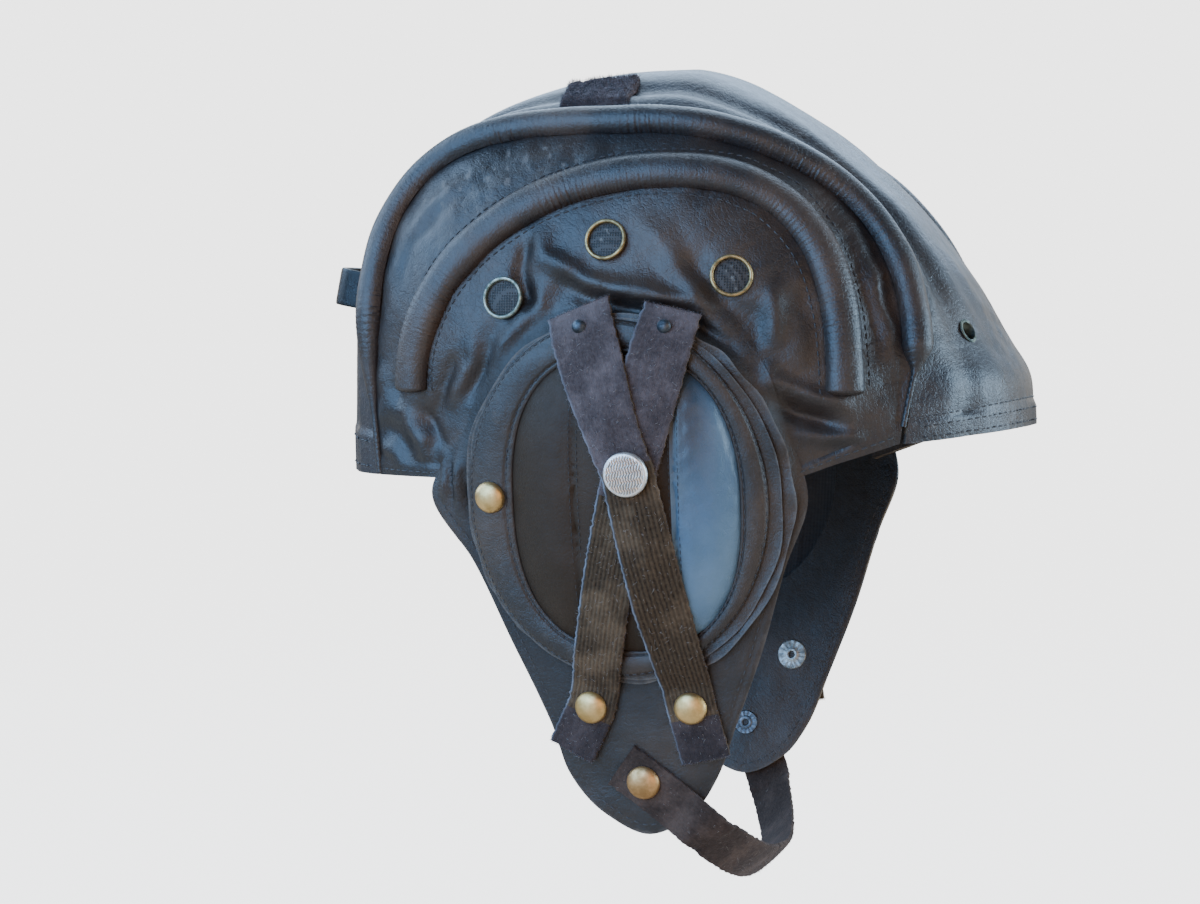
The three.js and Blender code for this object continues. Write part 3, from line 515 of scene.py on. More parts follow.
def turned(name, profile, place, normal, finish, sides=48, relief=None, marks=None, **how):
    """A piece turned on its axis; the profile is closed or runs from the axis round to it."""
    first = unit(np.cross(normal, (0, 0, 1.0)))
    second = np.cross(normal, first)
    angles = np.linspace(0, 2 * np.pi, sides, endpoint=False)
    profile = np.asarray(profile, float)
    closed = np.allclose(profile[0], profile[-1])
    if closed:
        profile = profile[:-1]
    across, up = profile[:, :1] * np.cos(angles), profile[:, :1] * np.sin(angles)
    height = np.repeat(profile[:, 1:], sides, 1)
    if relief:
        height = height + relief(across, up)
    marks = {mark: rule(across, up) for mark, rule in (marks or {}).items()}
    points = place + across[..., None] * first + up[..., None] * second + height[..., None] * normal
    weld(swept(name, points, finish, closed, marks, **how))


# A stitch's rings, each of five corners: share of its half-length, share of its thickness
STITCH_RINGS = ((-1, 0.35), (-0.7, 1), (0, 1.1), (0.7, 1), (1, 0.35))
STITCH_CORNERS, STITCH_DIP = 5, 0.55


def stitches(name, lines, slot, pitch=3.0, length=2.1, thick=0.26, side=1):
    """A row of sewn stitches along each line of points with normals."""
    around = STITCH_CORNERS
    shape, stitch = [], []
    for ring, (share, width) in enumerate(STITCH_RINGS):
        for c, angle in enumerate(2 * np.pi * np.arange(around) / around):
            rise = width * np.sin(angle) - STITCH_DIP * share**2
            shape.append((share * length / 2, width * thick * np.cos(angle), thick * rise))
            if ring:
                here, before, after = ring * around, (ring - 1) * around, (c + 1) % around
                stitch.append((before + c, before + after, here + after, here + c))
    shape = np.array(shape)
    stitch += [tuple(range(around - 1, -1, -1)), tuple(range(len(shape) - around, len(shape)))]
    points = []
    for line, normals in lines:
        way = run_length(line)
        at = np.arange(pitch / 2, way[-1] - pitch / 2, pitch)
        place, normal = sample(line, way, at), sample(normals, way, at)
        along = unit(sample(line, way, at + 0.4) - place)
        across = unit(np.cross(normal, along))
        steps = zip((along, across, normal), shape.T)
        points.append(place[:, None] + sum(axis[:, None] * size[:, None] for axis, size in steps))
    points = np.concatenate(points).reshape(-1, 3)
    bases = range(0, len(points), len(shape))
    faces = [tuple(base + i for i in face) for base in bases for face in stitch]
    piece(name, points, faces, [THREAD], slot=slot, side=side)


def nap(name, places, normals, finish, slot, seed, long=1.0, thick=0.07, lean=0.5, side=1):
    """Short fibres that stand on velour, each a thin closed spike."""
    dice = np.random.default_rng(seed)
    count = len(places)
    way = unit(dice.normal(size=(count, 3)) * lean + normals)
    first = unit(np.cross(way, (0.3, 0.2, 1.0)))
    second = np.cross(way, first)
    reach = long * dice.uniform(0.5, 1.3, (count, 1))
    corners = [
        places + thick * (np.cos(a) * first + np.sin(a) * second) - 0.15 * normals
        for a in (0, 2 * np.pi / 3, 4 * np.pi / 3)
    ]
    points = np.stack([*corners, places + way * reach], 1).reshape(-1, 3)
    base = 4 * np.arange(count)[:, None, None]
    faces = (base + np.array([(0, 1, 3), (1, 2, 3), (2, 0, 3), (2, 1, 0)])).reshape(-1, 3).tolist()
    piece(name, points, faces, [finish], slot=slot, side=side, sharp=180)


# Finishes


class Value:
    """A socket in a node tree; sums with it add their nodes."""

    def __init__(self, tree, socket):
        self.tree, self.socket = tree, socket

    def sum(self, operation, *parts):
        return self.tree.node("ShaderNodeMath", {"operation": operation}, *parts)

    def __add__(self, other):
        return self.sum("ADD", self, other)

    def __radd__(self, other):
        return self.sum("ADD", other, self)

    def __sub__(self, other):
        return self.sum("SUBTRACT", self, other)

    def __rsub__(self, other):
        return self.sum("SUBTRACT", other, self)

    def __mul__(self, other):
        return self.sum("MULTIPLY", self, other)

    def __rmul__(self, other):
        return self.sum("MULTIPLY", other, self)

    def clip(self):
        return self.tree.node("ShaderNodeClamp", {}, self)


class Tree:
    """A node tree under construction."""

    def __init__(self, tree):
        self.nodes, self.links = tree.nodes, tree.links

    def node(self, kind, settings, *inputs, out=0, **named):
        made = self.nodes.new(kind)
        for key, value in settings.items():
            setattr(made, key, value)
        for key, value in [*enumerate(inputs), *named.items()]:
            if value is not None:
                self.feed(made.inputs[key], value)
        return Value(self, made.outputs[out])

    def feed(self, socket, value):
        """Links a value to a socket or sets a constant there, a colour as red, green, blue."""
        if isinstance(value, Value):
            self.links.new(value.socket, socket)
        else:
            socket.default_value = (*value, 1.0) if socket.type == "RGBA" else value

    def where(self):
        return self.node("ShaderNodeTexCoord", {}, out="Object")

    def mark(self, name, out="Fac"):
        return self.node("ShaderNodeAttribute", {"attribute_name": name}, out=out)

    def axes(self, vector):
        """The three numbers of a vector."""
        first = self.node("ShaderNodeSeparateXYZ", {}, vector)
        return [Value(self, socket) for socket in first.socket.node.outputs]

    def noise(self, at, scale, detail=3.0, rough=0.5, warp=0.0):
        sizes = dict(Scale=scale, Detail=detail, Roughness=rough, Distortion=warp)
        return self.node("ShaderNodeTexNoise", {}, Vector=at, **sizes)

    def cells(self, at, scale, feature, **named):
        settings = {"feature": feature}
        return self.node("ShaderNodeTexVoronoi", settings, Vector=at, Scale=scale, **named)

    def waves(self, at, scale, direction, warp):
        settings = {"bands_direction": direction}
        return self.node("ShaderNodeTexWave", settings, Vector=at, Scale=scale, Distortion=warp)

    def warped(self, at, scale, reach):
        """A place shifted by noise, so that cells lose their even shape."""
        drift = self.node("ShaderNodeTexNoise", {}, Vector=at, Scale=scale, Detail=2.0, out=1)
        shift = self.node("ShaderNodeVectorMath", {"operation": "SCALE"}, drift, Scale=reach)
        return self.node("ShaderNodeVectorMath", {"operation": "ADD"}, at, shift)

    def stretch(self, at, scale):
        return self.node("ShaderNodeVectorMath", {"operation": "MULTIPLY"}, at, scale)

    def mask(self, value, low, high):
        settings = {"interpolation_type": "SMOOTHSTEP"}
        return self.node("ShaderNodeMapRange", settings, value, low, high, 0.0, 1.0)

    def mix(self, share, one, other):
        made = self.node("ShaderNodeMix", {"data_type": "RGBA"}, share, out=2)
        self.feed(made.socket.node.inputs[6], one)
        self.feed(made.socket.node.inputs[7], other)
        return made

    def bump(self, height, distance, strength=1.0, on=None):
        sizes = dict(Strength=strength, Distance=distance)
        return self.node("ShaderNodeBump", {}, Height=height, Normal=on, **sizes)


class Finish(Tree):
    """A material, with its shader's sockets."""

    def __init__(self, name):
        self.material = bpy.data.materials.new(name)
        self.material.use_nodes = True
        super().__init__(self.material.node_tree)
        self.shader = self.nodes["Principled BSDF"]

    def set(self, **sockets):
        for key, value in sockets.items():
            self.feed(self.shader.inputs[key.replace("_", " ")], value)
        return self.material


def leather(
    name, colors, rough, grain=1.0, sheen=0.0, speckle=0.9, wrinkle=0.35, gloss=0.5, painted_reflection=None
):
    """Black leather: pebbled grain, fine creases, brown blotches, rubbed high places, and painted shade
    where its shade mark is high.
    """
    dark, brown, rubbed = colors
    f = Finish(name)
    at, painted_shade_and_grime = f.where(), f.mark("painted_shade_and_grime")
    blotch, fine = f.noise(at, 28, 4, 0.6), f.noise(at, 260, 3, 0.6)
    base = f.mix(f.mask(blotch, 0.36, 0.72), dark, brown)
    worn = f.mask(f.mark("rubbed") * 0.9 + (fine - 0.5) * speckle, 0.3, 0.95)
    base = f.mix(worn * 0.75, base, rubbed)
    if painted_reflection:
        # The front gore has a coat and lower roughness of its own, and lighter blue colours that are a
        # painted reflection of the sky
        front = f.mask(f.axes(at)[0], (GORE - 0.1) * MM, (GORE + 0.1) * MM)
        base = f.mix(front, base, f.mix(f.mask(blotch, 0.36, 0.62), *painted_reflection))
        rough = rough - front * 0.2
        f.set(Coat_Weight=front * 0.6, Coat_Roughness=0.3)
    # Painted shade: where the shade mark is high the base colour darkens to near black, as if in shadow.
    f.set(Base_Color=f.mix(painted_shade_and_grime, base, (0.003, 0.002, 0.0015)))

    pebble = f.mask(f.cells(at, 720 / grain, "DISTANCE_TO_EDGE"), 0.0, 0.16)
    pores = f.cells(at, 1500 / grain, "F1")
    veins = f.noise(at, 95, 5, 0.65, 0.8)
    crease = f.mask(veins, 0.46, 0.5) * (1 - f.mask(veins, 0.5, 0.54))
    lines = f.cells(f.warped(at, 160, 0.0012), 330, "DISTANCE_TO_EDGE")
    height = pebble * 0.5 + pores * 0.25 + f.noise(at, 420, 3, 0.6) * 0.6 - crease * 0.5
    streak = f.noise(f.stretch(at, (1.0, 1.0, 0.12)), 650, 3, 0.6)
    height = height + f.mask(lines, 0.0, 0.3) * wrinkle + streak * 0.5
    soft = f.bump(f.noise(at, 55, 4, 0.6), 0.0016, 0.3)
    uneven = painted_shade_and_grime * 0.2 + (blotch - 0.5) * 0.22 + (fine - 0.5) * 0.16 + (streak - 0.5) * 0.2
    f.set(Normal=f.bump(height, 0.00015, 0.5, soft), Roughness=(rough + uneven + worn * 0.16).clip())
    if sheen:
        f.set(Sheen_Weight=sheen, Sheen_Roughness=0.4, Sheen_Tint=(0.55, 0.65, 0.85))
    return f.set(Specular_IOR_Level=gloss)


STRAP_WIDTH, CORDS = 16, 12


def cloth(name, one, other, rough, sheen, ribbed=0.0):
    """Velour and webbing: streaks along the band, a close nap, painted highlights on cords and one edge,
    scattered lint.
    """
    f = Finish(name)
    at, band = f.where(), f.mark("band", "Vector")
    across, pale = f.axes(band)[1:]
    tuft, patch = f.noise(at, 900, 3, 0.7), f.noise(at, 70, 4, 0.6)
    streak = f.noise(f.stretch(band, (0.5, 4.0, 1.0)), 0.9, 3, 0.6)
    lint = f.mask(f.noise(f.stretch(at, (1.0, 1.0, 0.5)), 1100, 2, 0.5, 1.5), 0.71, 0.76)
    cord = f.node("ShaderNodeMath", {"operation": "COSINE"}, across * (2 * math.pi * CORDS / STRAP_WIDTH))
    rubbed = f.mask(patch, 0.42, 0.7)
    # Painted highlight: the cord term lightens the ridges of the cords.
    base = f.mix((tuft * 0.5 + rubbed * 0.35 + streak * 0.4 + cord * ribbed - 0.22).clip(), one, other)
    # Painted highlight: the pale mark lightens the band's edge towards pale blue, as if lit.
    base = f.mix(pale * 0.8, base, (0.2, 0.23, 0.28))
    f.set(Base_Color=f.mix(lint * 0.5, base, (0.24, 0.2, 0.18)))
    f.set(Normal=f.bump(tuft + streak * 0.4, 0.0004, 0.8), Roughness=rough, Specular_IOR_Level=0.12)
    return f.set(Sheen_Weight=sheen, Sheen_Roughness=0.45, Sheen_Tint=(0.7, 0.6, 0.62))


def metal(name, bright, dull, rough, scale=300, grime=0.0):
    """Plated metal with tarnish in patches and fine scratches."""
    f = Finish(name)
    at = f.where()
    patch = f.mask(f.noise(at, scale, 4, 0.65), 0.38, 0.68)
    scratch = f.noise(f.stretch(at, (1.0, 3.0, 12.0)), 500, 3, 0.6)
    color = f.mix(patch, bright, dull)
    if grime:
        # Grime in the pressed grooves of the metal; on the leather the same mark is painted shade.
        color = f.mix(f.mark("painted_shade_and_grime") * grime, color, (0.05, 0.045, 0.04))
    f.set(Base_Color=color, Roughness=(rough + patch * 0.2 + (scratch - 0.5) * 0.3).clip())
    return f.set(Normal=f.bump(scratch, 0.00008, 0.4), Metallic=1.0)


def cut_edge(name):
    """The raw tan edge of cut leather, with loose fibres."""
    f = Finish(name)
    at = f.where()
    fibre = f.noise(f.stretch(at, (1.0, 1.0, 2.5)), 700, 4, 0.7)
    stain = f.mask(f.noise(at, 120, 3, 0.6), 0.4, 0.62)
    tan = f.mix(fibre, (0.05, 0.033, 0.02), (0.17, 0.115, 0.07))
    f.set(Base_Color=f.mix(stain, tan, (0.03, 0.026, 0.024)), Normal=f.bump(fibre, 0.0004, 0.7))
    return f.set(Roughness=0.85, Specular_IOR_Level=0.3)


def lining(name):
    """Dark cotton lining with a plain weave."""
    f = Finish(name)
    at = f.where()
    weave = f.waves(at, 240, "X", 0.6) * 0.5 + f.waves(at, 240, "Z", 0.6) * 0.5
    f.set(Base_Color=f.mix(f.noise(at, 40, 3, 0.6), (0.02, 0.018, 0.018), (0.05, 0.042, 0.04)))
    return f.set(Normal=f.bump(weave, 0.0002, 0.5), Roughness=0.9, Specular_IOR_Level=0.3, Sheen_Weight=0.2)


def mesh_cloth(name):
    """Dark wire gauze: rows of small holes, with dust caught in it."""
    f = Finish(name)
    at = f.where()
    wire = f.mask(f.cells(at, 1150, "F1", Randomness=0.15), 0.34, 0.46)
    dust = f.mask(f.noise(at, 420, 3, 0.6), 0.6, 0.7)
    base = f.mix(wire, (0.008, 0.0075, 0.007), (0.035, 0.031, 0.028))
    f.set(Base_Color=f.mix(dust * 0.45, base, (0.2, 0.19, 0.17)), Normal=f.bump(wire, 0.0003, 0.8))
    return f.set(Roughness=0.6, Specular_IOR_Level=0.4)


def lint_fibre(name):
    f = Finish(name)
    pale = f.mix(f.noise(f.where(), 60, 2), (0.2, 0.18, 0.16), (0.5, 0.47, 0.44))
    return f.set(Base_Color=pale, Roughness=0.9)


def thread(name):
    f = Finish(name)
    at = f.where()
    f.set(Base_Color=f.mix(f.noise(at, 90, 2), (0.016, 0.015, 0.016), (0.06, 0.054, 0.052)))
    f.set(Normal=f.bump(f.waves(at, 900, "DIAGONAL", 1.0), 0.0001, 0.6))
    return f.set(Roughness=0.6, Specular_IOR_Level=0.4)


# Leather: colours of dark, brown and rubbed places, roughness, grain
PANEL_LEATHER = leather(
    "panel_leather", ((0.012, 0.0095, 0.009), (0.046, 0.028, 0.018), (0.12, 0.1, 0.085)), 0.42
)
CROWN_LEATHER = leather(
    "crown_leather", ((0.018, 0.018, 0.021), (0.046, 0.034, 0.027), (0.13, 0.12, 0.11)), 0.39
)
RIB_LEATHER = leather(
    "rib_leather", ((0.014, 0.012, 0.012), (0.052, 0.031, 0.02), (0.09, 0.078, 0.07)), 0.4, 0.8
)
FLAP_COLORS = ((0.0155, 0.0115, 0.0095), (0.048, 0.028, 0.0165), (0.12, 0.098, 0.08))
FLAP_LEATHER = leather("flap_leather", FLAP_COLORS, 0.46, 0.8, sheen=0.02)
CUP_COLORS = ((0.028, 0.0165, 0.009), (0.039, 0.023, 0.013), (0.05, 0.045, 0.04))
# Lighter blue colours of the front gore: a painted reflection of the sky.
GORE_PAINTED_REFLECTION = ((0.07, 0.125, 0.185), (0.11, 0.175, 0.235))
CUP_LEATHER = leather(
    "cup_leather", CUP_COLORS, 0.54, 0.9, speckle=0.2, wrinkle=0.4, gloss=0.2, painted_reflection=GORE_PAINTED_REFLECTION
)
KEEPER_COLORS = ((0.003, 0.003, 0.0035), (0.007, 0.006, 0.006), (0.02, 0.02, 0.02))
KEEPER_LEATHER = leather("keeper_leather", KEEPER_COLORS, 0.3, 0.7, gloss=0.25)
CUT_EDGE = cut_edge("cut_edge")
LINING = lining("cotton_lining")

# Cloth: low and high colour, roughness, sheen, cords
VELOUR = cloth("velour", (0.015, 0.0105, 0.0105), (0.175, 0.132, 0.124), 0.92, 0.5)
DARK_VELOUR = cloth("dark_velour", (0.008, 0.006, 0.006), (0.1, 0.074, 0.07), 0.92, 0.4)
ELASTIC = cloth("elastic", (0.011, 0.0065, 0.0032), (0.165, 0.108, 0.062), 0.82, 0.08, 0.09)
CHIN_CLOTH = cloth("chin_cloth", (0.013, 0.0085, 0.0065), (0.125, 0.083, 0.064), 0.88, 0.12)

# Metal: bright and dull colour, roughness, scale of the tarnish
BRASS = metal("brass", (0.74, 0.49, 0.21), (0.5, 0.31, 0.11), 0.38, 130)
ORANGE_BRASS = metal("worn_brass", (0.64, 0.38, 0.17), (0.38, 0.21, 0.08), 0.42, 130)
DULL_BRASS = metal("dull_brass", (0.42, 0.3, 0.14), (0.16, 0.12, 0.06), 0.42)
GREEN_BRASS = metal("tarnished_brass", (0.36, 0.37, 0.3), (0.12, 0.15, 0.12), 0.45)
DARK_METAL = metal("blackened_metal", (0.09, 0.1, 0.11), (0.03, 0.032, 0.036), 0.4)
EYELET_METAL = metal("eyelet_metal", (0.13, 0.14, 0.11), (0.04, 0.05, 0.045), 0.45)
GREY_METAL = metal("grey_metal", (0.42, 0.42, 0.4), (0.2, 0.2, 0.19), 0.45)
DIM_METAL = metal("dim_metal", (0.17, 0.18, 0.2), (0.08, 0.085, 0.095), 0.45)
SILVER = metal("silver_plate", (0.9, 0.86, 0.82), (0.7, 0.65, 0.6), 0.34, grime=0.85)
GAUZE, LINT, THREAD = mesh_cloth("wire_gauze"), lint_fibre("lint"), thread("thread")

# Camera, light and floor

CAMERA_YAW, CAMERA_TILT, CAMERA_LENS, CAMERA_AIM = 17, 3, 87.0, (-0.033, -0.0101, -0.1284)
LIGHT_AIM = (0, 0, -0.12)
FLOOR_HALF, FLOOR_Z = 20, -0.42

# Area lights: name, place in metres, size, power, colour
LIGHTS = (
    ("sky_light", (-0.1, 1.0, 1.0), 1.6, 36, (0.55, 0.74, 1.0)),
    ("rear_light", (-1.15, 0.0, 0.5), 1.0, 19, (0.42, 0.65, 1.0)),
    ("left_light", (-0.6, -1.13, 0.34), 1.4, 46, (0.28, 0.56, 1.0)),
    ("front_light", (1.25, 0.32, 0.12), 0.9, 26, (0.5, 0.74, 1.0)),
    ("low_light", (0.85, -0.9, -0.6), 0.5, 2, (0.36, 0.66, 1.0)),
    ("warm_fill", (0.62, -1.42, -0.3), 2.2, 20, (1.0, 0.64, 0.38)),
)


def placed(name, data, place, way):
    """An object whose back looks along a direction, such as a lamp or the camera."""
    made = bpy.data.objects.new(name, data)
    made.location = place
    made.rotation_euler = way.to_track_quat("Z", "Y").to_euler()
    bpy.context.scene.collection.objects.link(made)
    return made


def camera():
    yaw, tilt = math.radians(CAMERA_YAW), math.radians(CAMERA_TILT)
    away = Vector((math.sin(yaw) * math.cos(tilt), -math.cos(yaw) * math.cos(tilt), math.sin(tilt)))
    view = bpy.data.cameras.new("camera")
    view.lens, view.sensor_width, view.sensor_fit = CAMERA_LENS, 36.0, "HORIZONTAL"
    bpy.context.scene.camera = placed("camera", view, Vector(CAMERA_AIM) + away, away)


def lights():
    for name, place, size, power, color in LIGHTS:
        lamp = bpy.data.lights.new(name, "AREA")
        lamp.size, lamp.energy, lamp.color = size, power, color
        placed(name, lamp, place, Vector(place) - Vector(LIGHT_AIM)).visible_camera = False


def room():
    """Dim and warm below, pale blue above, with a lit band at the height of the eye."""
    world = bpy.data.worlds.new("studio")
    world.use_nodes = True
    bpy.context.scene.world = world
    f = Tree(world.node_tree)
    right, depth, rise = f.axes(f.node("ShaderNodeTexCoord", {}, out="Generated"))
    height = rise * 0.45 + depth
    color = f.mix(f.mask(height, 0.1, 0.9), (0.06, 0.043, 0.032), (0.62, 0.76, 0.9))
    color = f.mix(f.mask(height, 0.85, 1.2), color, (0.45, 0.66, 0.95))
    lit = f.mix(f.mask(depth + right * 0.9, -0.5, 0.3), (0.24, 0.18, 0.135), (1.15, 1.08, 0.97))
    color = f.mix(f.mask(rise * rise, 0.09, 0.025), color, lit)
    seen = f.node("ShaderNodeLightPath", {})
    f.feed(f.nodes["Background"].inputs["Color"], f.mix(seen, color, (3.3, 3.3, 3.3)))


def floor():
    """A pale floor to the camera, a wooden one to the light that it throws back."""
    f = Finish("pale_floor")
    seen = f.node("ShaderNodeLightPath", {})
    boards = f.mix(f.noise(f.where(), 3, 2), (0.52, 0.385, 0.27), (0.55, 0.41, 0.29))
    f.set(Base_Color=f.mix(seen, boards, (0.09, 0.09, 0.09)))
    f.set(Emission_Color=f.mix(seen, (0, 0, 0), (3.24, 3.24, 3.24)), Roughness=0.9, Emission_Strength=1.0)
    mesh = bpy.data.meshes.new("floor")
    corners = [(x * FLOOR_HALF, y * FLOOR_HALF, FLOOR_Z) for x, y in ((-1, -1), (1, -1), (1, 1), (-1, 1))]
    mesh.from_pydata(corners, [], [(0, 1, 2, 3)])
    mesh.materials.append(f.material)
    made = bpy.data.objects.new("floor", mesh)
    bpy.context.scene.collection.objects.link(made)


# Crown panel

# Vents in the side view; the place of a brow eyelet on the crown panel; radii of the holes
VENTS = {"rear": (-43.2, -75.4), "top": (-9.3, -57), "front": (31.5, -68.5)}
EYELET_TURN, EYELET_Y, EYELET_HOLE, VENT_HOLE = 0.104, 29.5, 3.3, 5.6

# Seams along the crown's hems, as turns; beside the short rib; and across the side panel's ends
HEM_SEAMS, RIB_SEAM, END_SEAMS = (0.0048, 0.0165, 0.0265, 0.967, 0.992), 7.3, (0.006, 0.992)


def round_hole(outer, inner, place, normal, radius):
    """Opens a round hole in a pair of grids; returns which cells stay."""
    away = outer - place
    beside = away - (away @ normal)[..., None] * normal
    inside = (np.linalg.norm(beside, axis=-1) < radius + 0.6) & (np.abs(away @ normal) < 12)
    opened = inside[:-1, :-1] & inside[1:, :-1] & inside[:-1, 1:] & inside[1:, 1:]
    touched = np.zeros(inside.shape, bool)
    for r, c in np.ndindex(2, 2):
        touched[r : opened.shape[0] + r, c : opened.shape[1] + c] |= opened
    for grid in (outer, inner):
        away = grid - place
        deep = (away @ normal)[..., None] * normal
        size = np.maximum(np.linalg.norm(away - deep, axis=-1, keepdims=True), 1e-6)
        grid[touched] = (place + deep + (away - deep) / size * radius)[touched]
    return ~opened


def crown_lift(turn, share):
    """The crown's surface over its plain form, with its hems and the dents at the eyelets."""
    y = crown_y(turn, share)
    lift, rubbed = crown_relief(turn, share, y, 11)
    hem = 1 - smooth(turn, 0.019, 0.024) + smooth(turn, 0.955, 0.962)
    puckers = np.sin(y * 1.9 + rumple(7, 21, y, turn * 40))
    lift = lift * (1 - 0.6 * hem) + hem * (0.8 + 0.2 * puckers)
    lift = lift + 2.4 * bell(turn, 0.048, 0.028) * (1 - smooth(np.abs(share), 0.75, 1))
    for side in SIDES:
        away = np.hypot((turn - EYELET_TURN) * CROWN_LENGTH, y - side * EYELET_Y)
        lift = lift - 0.7 * bell(away, 0, 8)
    return lift, rubbed, y


def brow_place(side):
    turn, y = np.array([EYELET_TURN]), np.array([side * EYELET_Y])
    return crown_point(turn, y / crown_y(turn, 1), -0.4)[0], fan_normal(turn, y)[0]


def crown_panel():
    rows, columns = 280, 74
    turn, share = np.meshgrid(np.linspace(0, 1, rows), np.linspace(-1, 1, columns), indexing="ij")
    lift, rubbed, y = crown_lift(turn, share)
    outer = crown_point(turn, share, lift)
    inner = crown_point(turn, share, -WALL + 0.15 * rumple(14, 12, turn * CROWN_LENGTH, y))
    keep = np.ones((rows - 1, columns - 1), bool)
    for side in SIDES:
        keep &= round_hole(outer, inner, *brow_place(side), EYELET_HOLE)
    finishes, marks = [CROWN_LEATHER, LINING, CUT_EDGE], {"rubbed": rubbed}
    how = dict(slot="crown_leather", node="crown_panel", pad=0.4)
    shell("crown_panel_leather", outer, inner, finishes, keep=keep, marks=marks, **how)
    lines = []
    shares = np.linspace(-0.97, 0.97, 240)
    for at in HEM_SEAMS:
        turns = np.full_like(shares, at)
        places = crown_point(turns, shares, crown_lift(turns, shares)[0] + 0.05)
        lines.append((places, fan_normal(turns, crown_y(turns, shares))))
    stitches("hem_stitches", lines, "crown_leather")


# Side panels


def side_panel(side):
    """The wall between the long rib and the ear opening, with its creases and vents."""
    rows, columns = 300, 62
    share, lane = np.linspace(0, 1, rows)[:, None], np.linspace(0, 1, columns)[None]
    middle, foot = MAIN_ARCH["middle"], MAIN_ARCH["foot"]
    seam_x, seam_z = seam_point(share)
    inset = 1 - SEAM / np.hypot(seam_x - middle, seam_z - foot)
    edge_z = np.where(seam_z > foot, foot + (seam_z - foot) * inset, seam_z)
    edge = middle + (seam_x - middle) * inset, edge_z
    x, z = part_way(edge, arch_point(EAR_ARCH, share), lane)
    lift, rubbed = side_relief(x, z, side)
    lift = lift * (0.15 + 0.85 * smooth(lane, 0, 0.06) * smooth(1 - lane, 0, 0.12))
    hem = 1 - smooth(share, 0.012, 0.018) + smooth(share, 0.982, 0.988)
    lift = lift * (1 - 0.5 * hem) + 0.5 * hem
    outer = side_point(x, z, lift)
    inner = side_point(x, z, -WALL + np.minimum(0, lift) * 0.6)
    keep = np.ones((rows - 1, columns - 1), bool)
    for vent in VENTS.values():
        keep &= round_hole(outer, inner, side_point(*vent, 0), side_normal(*vent), VENT_HOLE)
    # Painted shade on the panel beside the front of the ring, fading away from it.
    painted_shade_and_grime = 0.85 * np.exp(-beyond_ring(x, z) / 13) * smooth(x, 2, 32)
    finishes, marks = [PANEL_LEATHER, LINING, CUT_EDGE], {"rubbed": rubbed, "painted_shade_and_grime": painted_shade_and_grime}
    how = dict(slot="side_leather", node="side_panel_*", side=side)
    shell("side_panel_leather_*", outer, inner, finishes, keep=keep, marks=marks, **how)


def offset_line(x, z, away):
    """A side-view line moved sideways, outward from its arch when away is positive."""
    dx, dz = np.gradient(x), np.gradient(z)
    size = np.hypot(dx, dz)
    return x - dz / size * away, z + dx / size * away


def panel_stitches(side):
    """Seams on both sides of the short rib and along both hems."""
    arch = arch_point(INNER_ARCH, np.linspace(0, 1, 400))
    seams = [(*offset_line(*arch, away), 1, 0.1) for away in (RIB_SEAM, -RIB_SEAM)]
    for share in END_SEAMS:
        hem = part_way(seam_point(share), arch_point(EAR_ARCH, share), np.linspace(0.06, 0.9, 60))
        seams.append((*hem, 0.5, 0.55))
    lines = [
        (side_point(x, z, side_relief(x, z, side)[0] * creased + lift), side_normal(x, z))
        for x, z, creased, lift in seams
    ]
    stitches("panel_stitches_*", lines, "side_leather", side=side)


# Padded ribs


def padded_rib(node, line, width, height, seed, square_ends, side):
    """A roll of thin leather gathered over a core, puckered across its length."""
    here, normal = side_point(*line, 0.15), side_normal(*line)
    across = unit(np.cross(unit(np.gradient(here, axis=0)), normal))
    way = run_length(here)
    end = np.minimum(way, way[-1] - way)
    if square_ends:
        size = 1 - 0.4 * np.clip(1 - end / 1.6, 0, 1) ** 2
    else:
        rear, front = 0.24 + 0.76 * smooth(end, 14, 56), 0.17 + 0.83 * smooth(end, 16, 27)
        size = np.where(way < way[-1] / 2, rear, front)
    size, end = size[:, None], end[:, None]

    a, w = np.meshgrid(np.linspace(0, np.pi, 19), way)
    gather = np.sin(w * 3.3 + 2.2 * rumple(12, seed, w, a * 3)) * (0.55 + 0.45 * rumple(30, seed + 1, w))
    gather += 0.5 * np.sin(w * 5.1 + 2 * rumple(7, seed + 2, w, a * 2))
    busy = smooth(rumple(60, seed + 5, w), -0.5, 0.9)
    gather *= 0.012 + (0.02 + 0.17 * busy) * np.abs(np.cos(a)) ** 1.5
    pucker = gather * np.minimum(1, end / 4)
    swell = (1 + 0.03 * rumple(26, seed + 3, w, a * 4)) * size

    foot = np.array([0.9, 0.3, -0.3, -0.9]) * width / 2 * size
    beside = np.hstack([-np.cos(a) * (width / 2 * swell + pucker), foot])
    above = np.hstack([np.sin(a) ** 0.85 * (height * swell + pucker), np.full_like(foot, -0.6)])
    sections = here[:, None] + across[:, None] * beside[..., None] + normal[:, None] * above[..., None]
    marks = {"rubbed": np.hstack([0.5 * smooth(gather, 0.02, 0.2), np.zeros_like(foot)])}
    how = dict(slot="rib_leather", node=f"{node}_*", side=side, pad=0.9)
    swept(f"{node}_leather_*", sections, RIB_LEATHER, marks=marks, **how)


# Ear flaps, rings and cups

# The flap's leaf: height, rear edge, front edge
FLAP_ROWS = (
    (-77, -13, 14),
    (-84, -34, 33),
    (-98, -49, 43),
    (-117, -57, 49),
    (-138, -70, 54.5),
    (-161, -55.5, 47),
    (-187, -43.5, 39.5),
    (-213, -31.5, 30),
    (-230, -26, 23.5),
    (-242, -16, 15),
)
FLAP_TIP = (0, -249.5)


# Stitched seams: inward from the leaf's edge, below this height; share of the way across the
# ring; beside each seam of the cup's gores, between these heights
FLAP_SEAM, FLAP_SEAM_TOP, RING_SEAMS, GORE_SEAM, GORE_SPAN = 3.2, -142, (0.17, 0.9), 1.3, (-183, -98)


